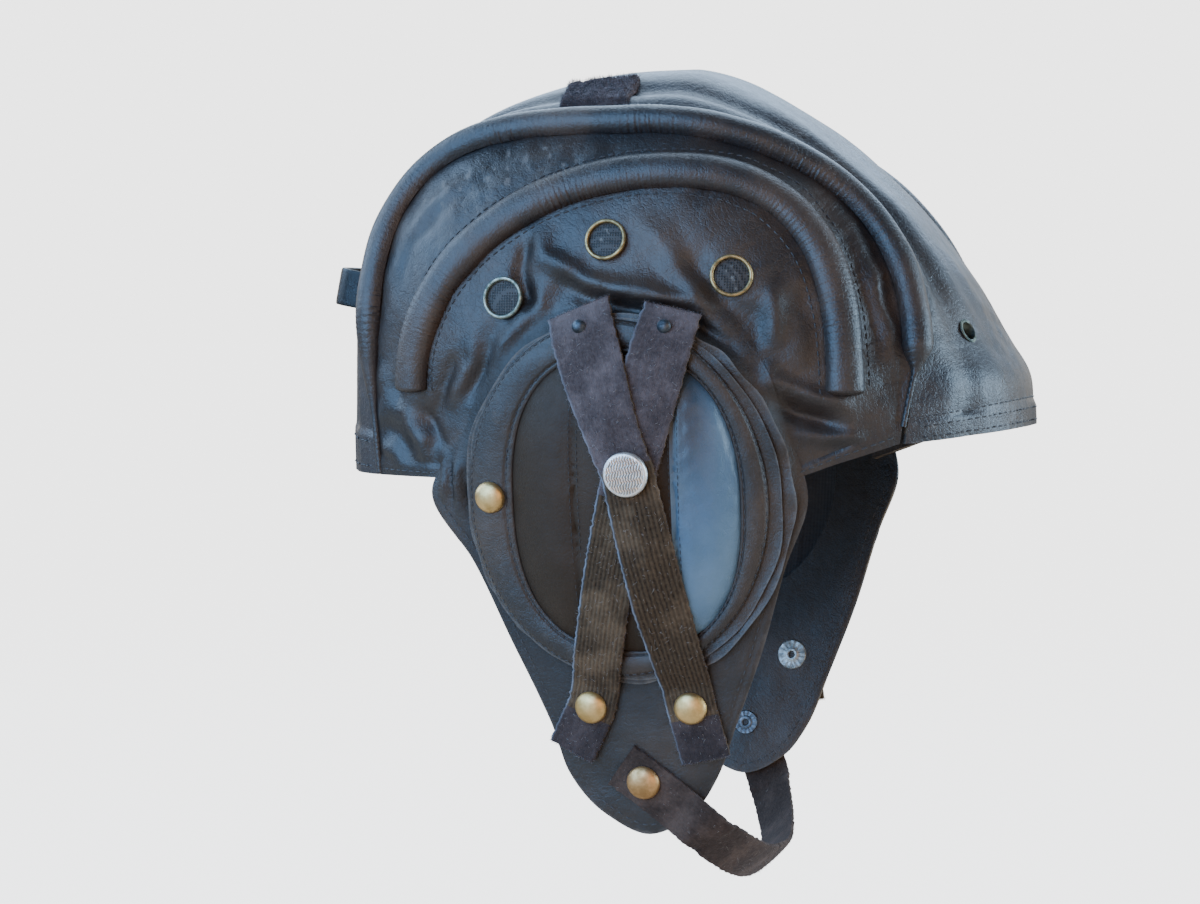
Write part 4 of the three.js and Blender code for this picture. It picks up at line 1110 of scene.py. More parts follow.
def flap_outline(count):
    rear = [(x, z) for z, x, _ in FLAP_ROWS]
    front = [(x, z) for z, _, x in reversed(FLAP_ROWS)]
    return round_curve([*rear, FLAP_TIP, *front], count)


def flap_wave(x, z):
    """The slow waves of the free lower leaf."""
    return smooth(-z, 178, 232) * (0.5 * rumple(34, 71, x, z) + 0.15 * rumple(11, 72, x, z))


def ear_flap(side):
    """The leaf: it shares the side panel's creases above, and is thin and pressed at its edge."""
    edge_x, edge_z = flap_outline(300).T[..., None]
    angle = np.arctan2((edge_z - EAR_HOLE[1]) / EAR_HOLE[3], (edge_x - EAR_HOLE[0]) / EAR_HOLE[2])
    lane = np.linspace(0, 1, 30)[None] ** 0.8
    x, z = part_way(oval_point(EAR_HOLE, angle), (edge_x, edge_z), lane)
    wave = flap_wave(x, z)
    to_edge = np.hypot(x - edge_x, z - edge_z)
    thin, press = 0.35 * np.exp(-to_edge / 1.1), 0.28 * bell(to_edge, 3.2, 0.9)
    upper = smooth(z, -144, -128)
    upper = upper * smooth((oval_share(RING_OUTER, x, z) - 1) * RING_RADIUS, -3, 3)
    skived = upper * smooth(-to_edge, -9, 0)
    relief = side_relief(x, z, side)[0] * upper
    for row in FLAP_FOLDS:
        relief = relief + fold(x, z, *row) * smooth(-z, 124, 132)
    lift = wave + relief
    outer = side_point(x, z, FLAP_OUTER + lift - (thin + press) * (1 - upper) - 1.75 * skived)
    inner = side_point(x, z, FLAP_INNER + lift + thin * (1 - upper) - 0.15 * skived)
    worn = 0.1 * smooth(rumple(18, 72, x, z), 0.2, 1)
    rubbed = 0.75 * np.exp(-to_edge / 1.6) * smooth(-z, 128, 146) + worn
    # Painted shade on the flap round the ring, fading away from it.
    painted_shade_and_grime = 0.85 * np.exp(-beyond_ring(x, z) / 11)
    finishes = [FLAP_LEATHER, FLAP_LEATHER, CUT_EDGE, PANEL_LEATHER]
    marks = {"rubbed": rubbed, "painted_shade_and_grime": painted_shade_and_grime}
    how = dict(marks=marks, slot="flap_leather", node="ear_flap_*", side=side)
    made = shell("ear_flap_leather_*", outer, inner, finishes, round_rows=True, **how)

    # Above the ring the leaf is of the panel's leather
    faces = made.data.polygons
    middles, kinds = np.empty(3 * len(faces)), np.empty(len(faces), np.int32)
    faces.foreach_get("center", middles)
    faces.foreach_get("material_index", kinds)
    x, z = middles[0::3] / MM, middles[2::3] / MM
    kinds[(z > -141) & (oval_share(RING_OUTER, x, z) > 0.99)] = 3
    faces.foreach_set("material_index", kinds)


def flap_stitches(side):
    """The seam along the free edge of the leaf, seen on both of its faces."""
    edge = flap_outline(600)
    step = unit(np.gradient(edge, axis=0))
    seam = edge + np.stack([-step[:, 1], step[:, 0]], 1) * FLAP_SEAM
    x, z = seam[seam[:, 1] < FLAP_SEAM_TOP].T
    normal, wave = side_normal(x, z), flap_wave(x, z)
    lines = [
        (side_point(x, z, FLAP_OUTER + wave - 0.2), normal),
        (side_point(x, z, FLAP_INNER + wave + 0.05), -normal),
    ]
    stitches("flap_stitches_*", lines, "flap_leather", thick=0.22, side=side)


def ring_rise(across):
    """Height of the padded ring over its foot, from its inner to its outer edge."""
    round_up = (1 - (1 - np.clip(across / 0.045, 0, 1)) ** 2) ** 0.5
    fall = (1 - np.clip((across - 0.86) / 0.14, 0, 1) ** 2) ** 0.5
    plump = 2.4 + 1.1 * np.sin(np.pi * np.clip((across - 0.02) / 0.98, 0, 1)) ** 0.8
    grooves = 0.4 * bell(across, RING_SEAMS[0], 0.03) + 0.35 * bell(across, RING_SEAMS[1], 0.04)
    return (plump - grooves) * round_up * fall


def cup_ring(side):
    angle = np.linspace(0, 2 * np.pi, 260, endpoint=False)[:, None]
    across = np.linspace(0, 1, 34)[None] ** 1.3
    x, z = part_way(cup_edge(RING_ROLL, angle), oval_point(RING_TOP, angle), across)
    lift = ring_rise(across) + 0.16 * rumple(14, 81, x, z) * np.sin(np.pi * across)
    gather = np.sin(angle * 110 + 2 * rumple(12, 82, x, z))
    lift = np.maximum(0, lift + 0.12 * gather * bell(across, RING_SEAMS[0], 0.1))
    top = side_point(x, z, CUP_FOOT + lift)
    bottom = side_point(x[:, ::-11], z[:, ::-11], CUP_FOOT - 0.05)
    marks = {"rubbed": np.hstack([0.35 * smooth(lift, 2.6, 3.6), np.zeros(bottom.shape[:2])])}
    how = dict(slot="flap_leather", node="cup_ring_*", side=side, pad=0.5)
    swept("cup_ring_leather_*", np.hstack([top, bottom]), FLAP_LEATHER, True, marks, **how)
    lines = []
    turn = np.linspace(0, 2 * np.pi, 400)
    for at in RING_SEAMS:
        x, z = part_way(cup_edge(RING_ROLL, turn), oval_point(RING_TOP, turn), at)
        lines.append((side_point(x, z, CUP_FOOT + ring_rise(at) + 0.1), side_normal(x, z)))
    stitches("ring_stitches_*", lines, "flap_leather", 2.6, 1.8, 0.22, side)


def cup_rise(x, z):
    """The cup's height: a low dome of three gores, each a little fuller than its seams."""
    share = np.minimum(1, cup_share(x, z))
    swell = (1 - share**2.4) ** 0.6
    past = (np.abs(x) - GORE) / (CUP_OVAL[2] - GORE)
    fuller = 1.1 * np.sin(np.pi * np.clip(past, 0, 1)) + 0.5 * np.clip(1 - (x / GORE) ** 2, 0, 1)
    beside = np.abs(np.abs(x) - GORE)
    valley = 0.8 * bell(beside, 0, 3) + 0.5 * bell(beside, 0, 0.45)
    return swell * (CUP_HEIGHT + fuller + 0.45 * bell(beside, GORE_SEAM, 0.55) - valley)


def ear_cup(side):
    angle = np.linspace(0, 2 * np.pi, 190, endpoint=False)[:, None]
    rings = 1 - np.linspace(0, 1, 42) ** 1.6
    x, z = part_way(CUP_OVAL[:2], cup_edge(CUP_OVAL, angle), rings)
    rise, share = cup_rise(x, z), cup_share(x, z)
    pebbled = (0.08 + 0.12 * smooth(z, -150, -125)) * rumple(2.6, 92, x, z * 0.6)
    pebbled = smooth(x, GORE, GORE + 4) * (pebbled + 0.28 * rumple(8, 94, x, z * 0.35))
    crimp = 0.05 * np.sin(angle * 60 + 2 * rumple(10, 93, x, z)) * smooth(share, 0.8, 0.95)
    relief = (0.14 * rumple(19, 91, x, z) + pebbled + crimp) * smooth(1 - share, 0, 0.05)
    outer = side_point(x, z, CUP_FOOT + np.maximum(0, rise + relief))
    inner = part_way((x, z), CUP_OVAL[:2], CUP_WALL / CUP_OVAL[2])
    inner = side_point(*inner, CUP_FOOT + np.maximum(0, rise - CUP_WALL))
    # Painted shade on the upper part of the front gore, beside its seam.
    painted_shade_and_grime = 0.8 * smooth(z, -146, -112) * smooth(x, 10, 15) * (1 - smooth(x, 19, 33))
    marks = {"rubbed": 0.5 * smooth(share, 0.9, 1.0), "painted_shade_and_grime": painted_shade_and_grime}
    how = dict(marks=marks, slot="cup_leather", node="ear_cup_*", side=side, pad=0.5)
    weld(shell("ear_cup_leather_*", outer, inner, [CUP_LEATHER, LINING, CUT_EDGE], round_rows=True, **how))
    lines = []
    for x in (-GORE - GORE_SEAM, -GORE + GORE_SEAM, GORE - GORE_SEAM, GORE + GORE_SEAM):
        z = np.linspace(*GORE_SPAN, 240)
        z = z[cup_share(x, z) < 0.94]
        x = np.full_like(z, x)
        lines.append((side_point(x, z, CUP_FOOT + cup_rise(x, z) - 0.02), side_normal(x, z)))
    stitches("cup_stitches_*", lines, "cup_leather", 2.2, 1.5, 0.1, side)


# Leaves under the ring: outer oval, height over the flap
BACKINGS = (((-4.2, -139.6, 51.2, 57.9), 1.1), ((-3.1, -139.2, 53.4, 59), 0.5))


def cup_backing(side):
    """Two thin leaves of leather whose front edges show beside the ring."""
    angle = np.linspace(0, 2 * np.pi, 220, endpoint=False)[:, None]
    across = np.linspace(0, 1, 10)[None]
    inside = oval_point((*RING_OUTER[:2], RING_OUTER[2] - 7, RING_OUTER[3] - 7), angle)
    front = smooth(np.cos(angle), 0.1, 0.6)
    for count, (oval, lift) in enumerate(BACKINGS):
        edge = oval_point(oval, angle)
        x, z = part_way(inside, edge, across * (1 + 0.09 * across * rumple(22, 150 + count, *edge)))
        curl = 1 + 0.7 * rumple(20, 140 + count, x, z) + 0.1 * np.sin(angle * 46)
        lift = FLAP_OUTER + lift + across**3 * front * curl
        outer, inner = side_point(x, z, lift + 0.35), side_point(x, z, lift - 0.3)
        finishes, marks = [FLAP_LEATHER, FLAP_LEATHER, CUT_EDGE], {"rubbed": 0.8 * across**6 + 0 * angle}
        how = dict(marks=marks, slot="flap_leather", side=side)
        shell(f"cup_backing_{count + 1}_*", outer, inner, finishes, round_rows=True, **how)


# Cup straps

# A strap's middle line: top, crossing, stud, end; its steps between them and its three lanes
STRAP_OVER = ((-16, -79), (3, -127.5), (16.4, -206), (20.5, -223))
STRAP_UNDER = ((14.5, -79), (3, -127.5), (-16.4, -207), (-24, -222))
STRAP_STEPS, LANES, FINE, HOLD, STUD_CAP = (5, 8, 1, 2), (-0.5, 0.0, 0.5), 3, 1.5, 5.4
STRAP_FOOT, STRAP_GRID, CHIN_GRID = 14.5, (150, 49), (170, 29)
HAIRS, EDGE_HAIRS, END_HAIRS, LINTS = 1900, 700, 260, 420

# Height of the ring that the straps lie on: share of the way across, height
RING_ROWS = ((0, 0), (0.05, 2.3), (0.35, 3.5), (0.72, 3.1), (0.96, 1.6), (1, 0))


def support(x, z):
    """How far the flap, the ring and the cup stand off the form."""
    inward = (oval_share(RING_INNER, x, z) - 1) * RING_INNER[2]
    outward = (1 - oval_share(RING_OUTER, x, z)) * RING_OUTER[2]
    both = inward + outward
    across = np.clip(inward / np.where(np.abs(both) < 1e-6, 1, both), 0, 1)
    ring = np.interp(across, *zip(*RING_ROWS)) + 0.6
    ring = np.where((inward < -2) | (outward < -1), 0, ring)
    cup = np.where(cup_share(x, z) < 1, cup_rise(x, z), 0)
    return np.where(cup + ring > 0, CUP_FOOT + np.maximum(cup, ring), FLAP_OUTER)


def sags(first, middle, last):
    """Whether a point lies under the straight line between its neighbours."""
    rise, run = middle[1] - first[1], middle[0] - first[0]
    return rise * (last[0] - first[0]) <= (last[1] - first[1]) * run


def taut(lifts):
    """The height of a band pulled straight over what it lies on."""
    hull = []
    for point in enumerate(lifts):
        while len(hull) > 1 and sags(hull[-2], hull[-1], point):
            hull.pop()
        hull.append(point)
    return np.interp(np.arange(len(lifts)), *zip(*hull))


def strap_places(stops):
    """Side-view points of a strap's lanes, row by row."""
    top, cross, pin, end = (np.array(p, float) for p in stops)
    free = 1 - (STUD_CAP + HOLD) / np.linalg.norm(pin - cross)
    stops = [top, cross, cross + (pin - cross) * free, pin, end]
    middle = [top]
    for steps, one, other in zip(STRAP_STEPS, stops, stops[1:]):
        middle += [one + (other - one) * s for s in np.linspace(0, 1, steps * FINE + 1)[1:]]
    middle, index = np.array(middle), np.arange(len(middle))
    step = unit(middle[np.minimum(index[-1], index + FINE)] - middle[np.maximum(0, index - FINE)])
    beside = np.stack([step[:, 1], -step[:, 0]], 1)
    return middle[:, None] + beside[:, None] * (np.array(LANES) * STRAP_WIDTH)[:, None]


def strap_lifts(places, held):
    """Height of a strap's lanes: taut as far as its stud, then flat on the flap."""
    pinned = (STRAP_STEPS[0] + STRAP_STEPS[1]) * FINE
    lifts = held(places[..., 0], places[..., 1]) + SEAT
    lifts[pinned:] = FLAP_OUTER + SEAT
    for lane in range(len(LANES)):
        lifts[: pinned + 1, lane] = taut(lifts[: pinned + 1, lane])
    return lifts


def strap_face(places, lifts, x, z):
    """Height of a strap's outer face at side-view points, 0 beside it."""
    spots = np.stack(np.broadcast_arrays(x, z), -1)
    away = np.linalg.norm(places[:, 1] - spots[..., None, :], axis=-1)
    best = lifts.max(1)[away.argmin(-1)] + STRAP_WALL
    return np.where(away.min(-1) < STRAP_WIDTH / 2 + 3, best, 0)


UNDER = strap_places(STRAP_UNDER)
UNDER_LIFTS = strap_lifts(UNDER, support)


def under_strap(x, z):
    """What the upper strap lies on: the lower strap and all that is under it."""
    return np.maximum(support(x, z), strap_face(UNDER, UNDER_LIFTS, x, z))


OVER = strap_places(STRAP_OVER)
OVER_LIFTS = strap_lifts(OVER, under_strap)


def strap_top(x, z):
    """Height of the upper of the two straps at a side-view point."""
    return max(strap_face(OVER, OVER_LIFTS, x, z), strap_face(UNDER, UNDER_LIFTS, x, z))


def frayed(lanes, fray):
    """Sideways shift of a strap's lanes that leaves its middle and roughens its edges."""
    return (np.abs(lanes) * 2) ** 6 * np.sign(lanes) * fray[:, None]


def cup_strap(node, rows, lifts, seed, velour_to, flare, side):
    """A strap: ribbed elastic with a velour face on its upper part and a crimped foot."""
    packed = np.concatenate([rows, lifts[..., None]], -1).reshape(len(rows), -1)
    given = run_length(rows[:, 1])
    way, lanes = np.linspace(0, given[-1], STRAP_GRID[0]), np.linspace(-0.5, 0.5, STRAP_GRID[1])
    packed = sample(packed, given, way).reshape(len(way), len(LANES), -1)
    share = (lanes + 0.5) * 2
    low = np.clip(np.floor(share).astype(int), 0, 1)
    rest = (share - low)[None, :, None]
    x, z, lift = np.moveaxis(packed[:, low] * (1 - rest) + packed[:, low + 1] * rest, -1, 0)

    along, across = way[:, None], lanes[None] * STRAP_WIDTH
    foot = way[-1] - STRAP_FOOT
    plain = smooth(along, velour_to - 4, velour_to + 4) * (1 - smooth(along, foot - 2, foot + 2))
    edge = np.minimum(1, (0.5 - np.abs(lanes)) * STRAP_WIDTH / 0.5)
    ribs = 0.09 * np.cos(lanes * 2 * np.pi * CORDS) * plain * edge
    weave = 0.05 * np.sin(along * 5.5 + lanes * 40) * plain
    fuzz = (1 - plain) * (0.12 * rumple(2.0, seed, along, across) + 0.25)
    sag = 0.25 * rumple(30, seed + 1, along, across)
    fray = 0.25 * rumple(3, seed + 2, way) + 0.12 * rumple(1.2, seed + 3, way)
    step = unit(np.gradient(packed[:, 1, :2], axis=0))
    push = frayed(lanes, fray) + across * flare * (1 - smooth(along, 0.3 * velour_to, velour_to))
    x, z = x + step[:, 1:] * push, z - step[:, :1] * push
    outer = side_point(x, z, lift + STRAP_WALL + ribs + weave + fuzz + sag - 0.35 * (1 - edge))
    inner = side_point(x, z, lift + 0.1 * ribs + sag)

    # Painted highlight along one edge of the strap, stronger on the elastic than on the velour.
    pale = smooth(lanes, 0.45, 0.485) * (0.7 + 0.3 * rumple(9, seed + 4, along)) * (0.4 + 0.6 * plain)
    zones = np.where(way > foot, 2, np.where(way < velour_to, 1, 0))[:-1]
    zones = np.repeat(zones[:, None], len(lanes) - 1, 1)
    marks = {"band": np.stack(np.broadcast_arrays(along, across, pale), -1)}
    how = dict(zones=zones, marks=marks, slot="elastic", node=f"{node}_*", side=side)
    shell(f"{node}_cloth_*", outer, inner, [ELASTIC, VELOUR, DARK_VELOUR], **how)
    strap_hairs(node, outer, side_normal(x, z), way, foot, seed, velour_to, side)


def strap_hairs(node, outer, normals, way, foot, seed, velour_to, side):
    """Nap on a strap's velour, fuzz round its edges and lint caught on it."""
    dice = np.random.default_rng(seed + 9)
    last = outer.shape[1] - 1
    at = dice.uniform(0, velour_to + way[-1] - foot, HAIRS)
    at = np.sort(np.where(at < velour_to, at, foot + at - velour_to))
    lane = ((dice.uniform(-0.49, 0.49, HAIRS) + 0.5) * last).astype(int)
    row = np.interp(at, way, np.arange(len(way))).astype(int)

    rows, ends = dice.integers(0, len(way), EDGE_HAIRS), dice.integers(0, 2, EDGE_HAIRS)
    edges = outer[rows, ends * last]
    outward = edges - outer[rows, 2 + ends * (last - 4)]
    tops = dice.integers(0, last + 1, END_HAIRS)
    for end, before in ((0, 3), (-1, -4)):
        edges = np.concatenate([edges, outer[end, tops]])
        outward = np.concatenate([outward, outer[end, tops] - outer[before, tops]])
    nap(f"{node}_fuzz_*", edges, unit(outward), VELOUR, "velour", seed + 12, 0.9, 0.05, 0.7, side)

    upper = (at < velour_to).sum()
    for part, cut, finish, step in (
        ("nap", slice(upper), VELOUR, 10),
        ("foot_nap", slice(upper, None), DARK_VELOUR, 13),
    ):
        spots = row[cut], lane[cut]
        how = (finish, "velour", seed + step, 0.8, 0.06, 0.9, side)
        nap(f"{node}_{part}_*", outer[spots], normals[spots], *how)
    spots = dice.integers(0, len(way), LINTS), dice.integers(2, last - 1, LINTS)
    nap(f"{node}_lint_*", outer[spots], normals[spots], LINT, "elastic", seed + 11, 1.8, 0.05, 2.6, side)


# Chin strap

# Its middle line: x, z, y; the side of the helmet whose flap it lies on, or 0 where it hangs
CHIN_ROWS = (
    (-7.5, -226, None, -1),
    (0, -231.3, None, -1),
    (11, -240, None, -1),
    (19, -247, -66, 0),
    (26.5, -258.5, -46, 0),
    (27, -265.5, -14, 0),
    (23, -266.5, 20, 0),
    (15, -260.5, 50, 0),
    (8, -249, 65.5, 0),
    (4.5, -241, None, 1),
    (0, -231.3, None, 1),
    (-3.5, -222, None, 1),
)

# Within this distance of the middle plane the webbing turns to lie flat
CHIN_RADIUS = 62


def chin_strap():
    """One loop of webbing that turns from the flaps' sides to lie flat under the chin."""
    corners = [
        side_point(x, z, FLAP_OUTER + SEAT) * (1, on, 1) if on else (x, y, z)
        for x, z, y, on in CHIN_ROWS
    ]
    line = round_curve(corners, CHIN_GRID[0], closed=False)
    along = unit(np.gradient(line, axis=0))
    lead = 0.7 * np.sqrt(np.maximum(0, CHIN_RADIUS**2 - line[:, 1] ** 2))
    down = np.where(lead == 0, -np.abs(line[:, 1]) * JAW_TAPER, -lead)
    away = np.stack([lead, line[:, 1], down], 1)
    away = unit(away - (away * along).sum(1, keepdims=True) * along)
    across = np.cross(along, away)

    lanes, way = np.linspace(-0.5, 0.5, CHIN_GRID[1])[None], run_length(line)
    edge = np.minimum(1, (0.5 - np.abs(lanes)) * STRAP_WIDTH / 0.6)
    free = smooth(np.minimum(way, way[-1] - way), 18, 40)[:, None]
    curl = free * (0.5 * rumple(45, 101, way[:, None], lanes * 8) - 0.54 * (2 * lanes) ** 2)
    twill = 0.06 * np.sin(way[:, None] * 4.2 + lanes * 60)
    tuft = 0.12 * rumple(2.2, 102, way[:, None], lanes * STRAP_WIDTH)
    wide = lanes * STRAP_WIDTH + frayed(lanes, 0.3 * rumple(3, 103, way) + 0.15 * rumple(1.3, 104, way))
    base = line[:, None] + across[:, None] * wide[..., None]
    lift = STRAP_WALL + curl + twill + tuft - 0.35 * (1 - edge)
    outer = base + away[:, None] * lift[..., None]
    inner = base + away[:, None] * (curl + 0.05)[..., None]
    marks = {"band": np.stack(np.broadcast_arrays(way[:, None], lanes * STRAP_WIDTH, 0.0), -1)}
    how = dict(marks=marks, slot="elastic", node="chin_strap")
    shell("chin_strap_cloth", outer, inner, [CHIN_CLOTH] * 3, **how)

    dice = np.random.default_rng(105)
    row, lane = (dice.integers(0, size, 2400) for size in CHIN_GRID)
    nap("chin_strap_nap", outer[row, lane], away[row], CHIN_CLOTH, "elastic", 106, 0.7, 0.05, 0.9)
    row, lane = dice.integers(0, CHIN_GRID[0], 150), dice.integers(1, CHIN_GRID[1] - 1, 150)
    nap("chin_strap_lint", outer[row, lane], away[row], LINT, "elastic", 107, 1.6, 0.045, 2.6)


# Fasteners

# A cap's dome, from its top to its rim: shares of its radius, shares of its height
DOME_RADII = (0, 0.2, 0.4, 0.6, 0.78, 0.9, 0.98, 1, 0.97)
DOME_HEIGHTS = (1, 0.98, 0.92, 0.81, 0.64, 0.44, 0.2, 0.06, 0)
CAP_HEIGHT, SHANK_RADIUS = 3, 0.9

# Studs: name, x, z, cap and washer radius, height of what they hold, finish
STUDS = (
    ("stud_back", -16.4, -207, 5.4, 5.4, STRAP_TOP, BRASS),
    ("stud_front", 16.4, -206, 5.4, 5.4, STRAP_TOP, BRASS),
    ("stud_chin", 0, -231.3, 5.6, 4.4, STRAP_TOP, ORANGE_BRASS),
    ("stud_rear", -46.5, -138.5, 5.2, 3.6, CUP_FOOT + 3.5, BRASS),
)
RIVETS = ((-14, -84.8), (12.6, -84.6))


def rosette(u, v):
    """Petals pressed into a washer."""
    return 0.06 * np.sin(14 * np.arctan2(v, u)) * smooth(np.hypot(u, v), 1.8, 3.2)


def stud(node, x, z, cap, washer, top, finish, side):
    """A domed cap and its shank outside, a turned washer inside."""
    normal = side_normal(x, z)
    shank = FLAP_INNER - 0.35 - top + 0.25
    profile = [(cap * r, CAP_HEIGHT * h) for r, h in zip(DOME_RADII, DOME_HEIGHTS)]
    profile += [(SHANK_RADIUS, 0), (SHANK_RADIUS, shank), (0, shank)]
    how = dict(slot="brass", side=side)
    turned(f"{node}_*_cap", profile, side_point(x, z, top + 0.2), normal, finish, node=f"{node}_*", **how)
    rim = [(1.0, -0.1), (1.25, 0.45), (1.7, 0.62), (2.2, 0.5), (2.5, 0.3), (0.7 * washer, 0.4)]
    rim += [(0.94 * washer, 0.32), (washer, 0), (washer, -0.15), (1.0, -0.15), (1.0, -0.1)]
    finish = GREY_METAL if washer > 5 else DIM_METAL
    place = side_point(x, z, FLAP_INNER - 0.15)
    turned(f"{node}_*_washer", rim, place, -normal, finish, 84, rosette, **how)


def waves(u, v):
    """Fine waves pressed into the face of the cup's snap."""
    inside = smooth(6.4 - np.hypot(u, v), 0, 0.5)
    bent = u + 0.22 * np.sin(v * 2.1) + 0.1 * np.sin(v * 4.7 + u)
    return 0.18 * inside * np.sin(2 * np.pi * bent / 0.9)


def snap(side):
    """The flat silver snap where the straps cross."""
    x, z = STRAP_OVER[1]
    place = side_point(x, z, strap_top(x, z) + 0.35)
    profile = [(r, 2.6 - 0.5 * (r / 6.6) ** 2) for r in np.linspace(0, 6.6, 60)]
    profile += [(6.95, 1.75), (7.15, 1.2), (7.2, 0.6), (7.1, 0), (1.8, 0), (1.8, -3.6), (0, -3.6)]
    marks = {"painted_shade_and_grime": lambda u, v: smooth(-waves(u, v), -0.05, 0.2)}
    how = dict(slot="silver_snap", node="cup_snap_*", side=side)
    turned("cup_snap_*_cap", profile, place, side_normal(x, z), SILVER, 150, waves, marks, **how)


def ring_profile(inside, barrel, flange, proud):
    """A grommet: a rolled flange outside and a barrel through the wall."""
    middle, half = (inside + flange) / 2, (flange - inside) / 2
    turn = np.linspace(0, np.pi, 9)
    bead = [(middle - half * math.cos(a), proud * math.sin(a) ** 0.7) for a in turn]
    return [(inside, -WALL), *bead, (barrel, 0), (barrel, -WALL), (inside, -WALL)]


def vents(side):
    disc = [(r, -0.5 + 0.45 * (1 - (r / VENT_HOLE) ** 2)) for r in np.linspace(0, VENT_HOLE, 16)]
    disc += [(VENT_HOLE, -1.6), (0, -1.6)]
    for vent, spot in VENTS.items():
        place, normal = side_point(*spot, 0.35), side_normal(*spot)
        finish = GREEN_BRASS if vent == "rear" else DULL_BRASS
        how = dict(slot="brass", node=f"vent_ring_{vent}_*", side=side)
        turned(f"vent_{vent}_*_ring", ring_profile(VENT_HOLE, 5.9, 6.9, 0.9), place, normal, finish, **how)
        how = dict(slot="vent_mesh", node=f"vent_gauze_{vent}_*", side=side)
        turned(f"vent_{vent}_*_gauze", disc, place, normal, GAUZE, **how)


def brow_eyelet(side):
    place, normal = brow_place(1)
    profile, place = ring_profile(3.0, 3.2, 4.2, 0.4), place + normal * 0.1
    how = dict(slot="brass", node="brow_eyelet_*", side=side)
    turned("brow_eyelet_*_ring", profile, place, normal, EYELET_METAL, **how)


def rivets(side):
    profile = [(0, 1.2), (0.9, 1.1), (1.7, 0.75), (2.2, 0.2), (2.2, -0.4), (0, -0.4)]
    for count, (x, z) in enumerate(RIVETS):
        place, normal = side_point(x, z, strap_top(x, z) + 0.3), side_normal(x, z)
        how = dict(sides=20, slot="brass", side=side)
        turned(f"rivet_{count + 1}_*", profile, place, normal, DARK_METAL, **how)


# Crown tabs and rear keeper

# The tab's place on the crown panel: from and to, along and across it; its mesh and fibres
TAB_TURN, TAB_SHARE, TAB_GRID, TAB_HAIRS, TAB_LINTS = (0.53, 0.595), (0.56, 0.88), (48, 40), 3400, 110


def crown_tab(side):
    """A puffed tab of velour with a ragged edge, over the crown's groove."""
    spans = np.linspace(*TAB_TURN, TAB_GRID[0]), np.linspace(*TAB_SHARE, TAB_GRID[1])
    turn, share = np.meshgrid(*spans, indexing="ij")
    u = (turn - TAB_TURN[0]) / (TAB_TURN[1] - TAB_TURN[0])
    v = (share - TAB_SHARE[0]) / (TAB_SHARE[1] - TAB_SHARE[0])
    edge = np.minimum(np.minimum(u, 1 - u) * 20, np.minimum(v, 1 - v) * 14)
    where = turn * CROWN_LENGTH, share * 45
    puff = 2.2 * np.clip(edge, 0, 1) ** 0.4 + 0.35 * rumple(2.6, 112, *where)
    ragged = turn + 0.0008 * rumple(3, 111, *where)
    base = 0.5 - 1.6 * bell(share, 0.7, 0.1)
    outer, inner = crown_point(ragged, share, base + puff), crown_point(ragged, share, base)
    how = dict(slot="velour", node="crown_tab_*", side=side, sharp=180)
    marks = {"band": np.stack([*where, turn * 0], -1)}
    shell("crown_tab_velour_*", outer, inner, [DARK_VELOUR] * 3, marks=marks, **how)
    dice = np.random.default_rng(113)
    spots = tuple(dice.integers(0, size, TAB_HAIRS) for size in TAB_GRID)
    places, normal = outer[spots], fan_normal(turn[spots], crown_y(turn, share)[spots])
    nap("crown_tab_nap_*", places, normal, DARK_VELOUR, "velour", 114, 1.5, 0.08, 0.55, side)
    places, normal = places[:TAB_LINTS], normal[:TAB_LINTS]
    nap("crown_tab_lint_*", places, normal, LINT, "velour", 115, 1.8, 0.05, 1.6, side)


# The keeper on the nape: its place along the crown, its width and thickness over two,
# and half of its line, as distance from the middle plane and from the crown
KEEPER_TURN, KEEPER_HALF, KEEPER_THICK = 0.85, 6.5, 1.0
KEEPER_LINE = ((24, 0.7), (17, 1.1), (14, 11.7), (9.6, 15.2))


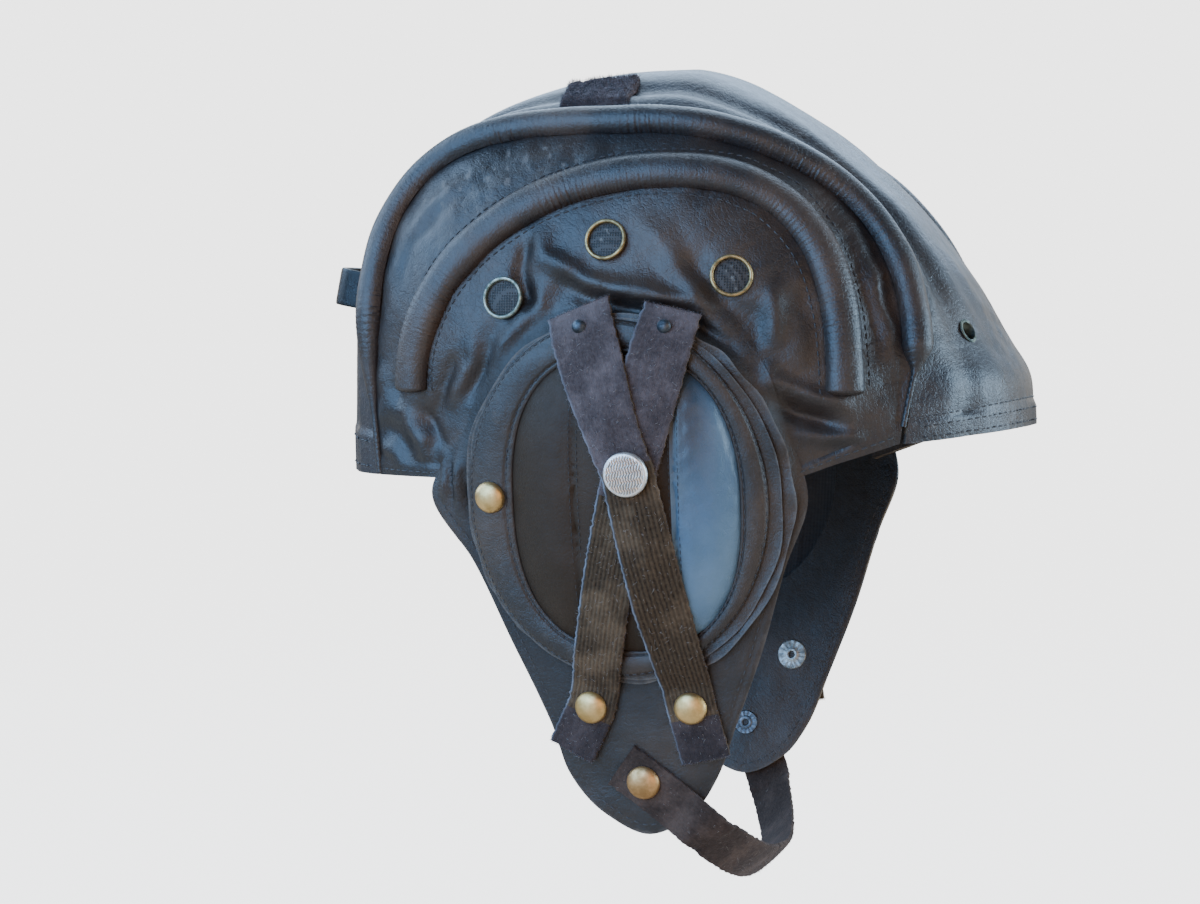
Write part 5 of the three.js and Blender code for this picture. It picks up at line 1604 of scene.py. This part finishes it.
def rear_keeper():
    """A stiff loop of leather that stands off the nape on two sewn feet."""
    turn, middle = np.array([KEEPER_TURN]), np.zeros(1)
    base, outward = fan_base(turn, middle)[0], fan_normal(turn, middle)[0]
    upward = unit(fan_base(turn - 0.01, middle)[0] - base)
    other_half = [(-y, stand) for y, stand in reversed(KEEPER_LINE)]
    line = round_curve([*KEEPER_LINE, *other_half], 140, closed=False)
    along = unit(np.gradient(line, axis=0))
    angle = np.linspace(0, 2 * np.pi, 28, endpoint=False)
    wide, tall = (np.sign(wave) * np.abs(wave) ** 0.3 for wave in (np.cos(angle), np.sin(angle)))
    wide, tall = wide * KEEPER_THICK, tall * KEEPER_HALF
    stand = (line[:, 1:] + along[:, :1] * wide)[..., None]
    sections = base + outward * stand + upward * tall[:, None]
    sections[..., 1] += line[:, :1] - along[:, 1:] * wide
    marks = {"rubbed": 0.4 * smooth(np.abs(tall), 5.6, 6.4) + np.zeros((len(line), 1))}
    how = dict(marks=marks, slot="keeper_leather", node="rear_keeper")
    swept("rear_keeper_strap", sections, KEEPER_LEATHER, **how)
    lines = []
    normals = np.repeat(outward[None], 12, 0)
    for sign in (-1, 1):
        for level in (-4.8, 4.8):
            places = base + 2 * normals + upward * level
            places[:, 1] += sign * np.linspace(19, 23, 12)
            lines.append((places, normals))
    stitches("keeper_stitches", lines, "keeper_leather", 1.9, 1.4, 0.2)


camera()
lights()
room()
floor()
crown_panel()

for side in SIDES:
    side_panel(side)
    panel_stitches(side)
    long_line = seam_point(np.linspace(0.002, 0.985, 780))
    padded_rib("main_rib", long_line, 10.6, 5.6, 41 + side, False, side)
    short_line = arch_point(INNER_ARCH, np.linspace(0, 1, 620))
    padded_rib("inner_rib", short_line, 12.4, 5.2, 51 + side, True, side)
    ear_flap(side)
    flap_stitches(side)
    cup_ring(side)
    ear_cup(side)
    cup_backing(side)
    cup_strap("cup_strap_under", UNDER, UNDER_LIFTS, 121, 58, 0.12, side)
    cup_strap("cup_strap_over", OVER, OVER_LIFTS, 131, 50, 0.3, side)
    for row in STUDS:
        stud(*row, side)
    snap(side)
    vents(side)
    brow_eyelet(side)
    rivets(side)
    crown_tab(side)

chin_strap()
rear_keeper()
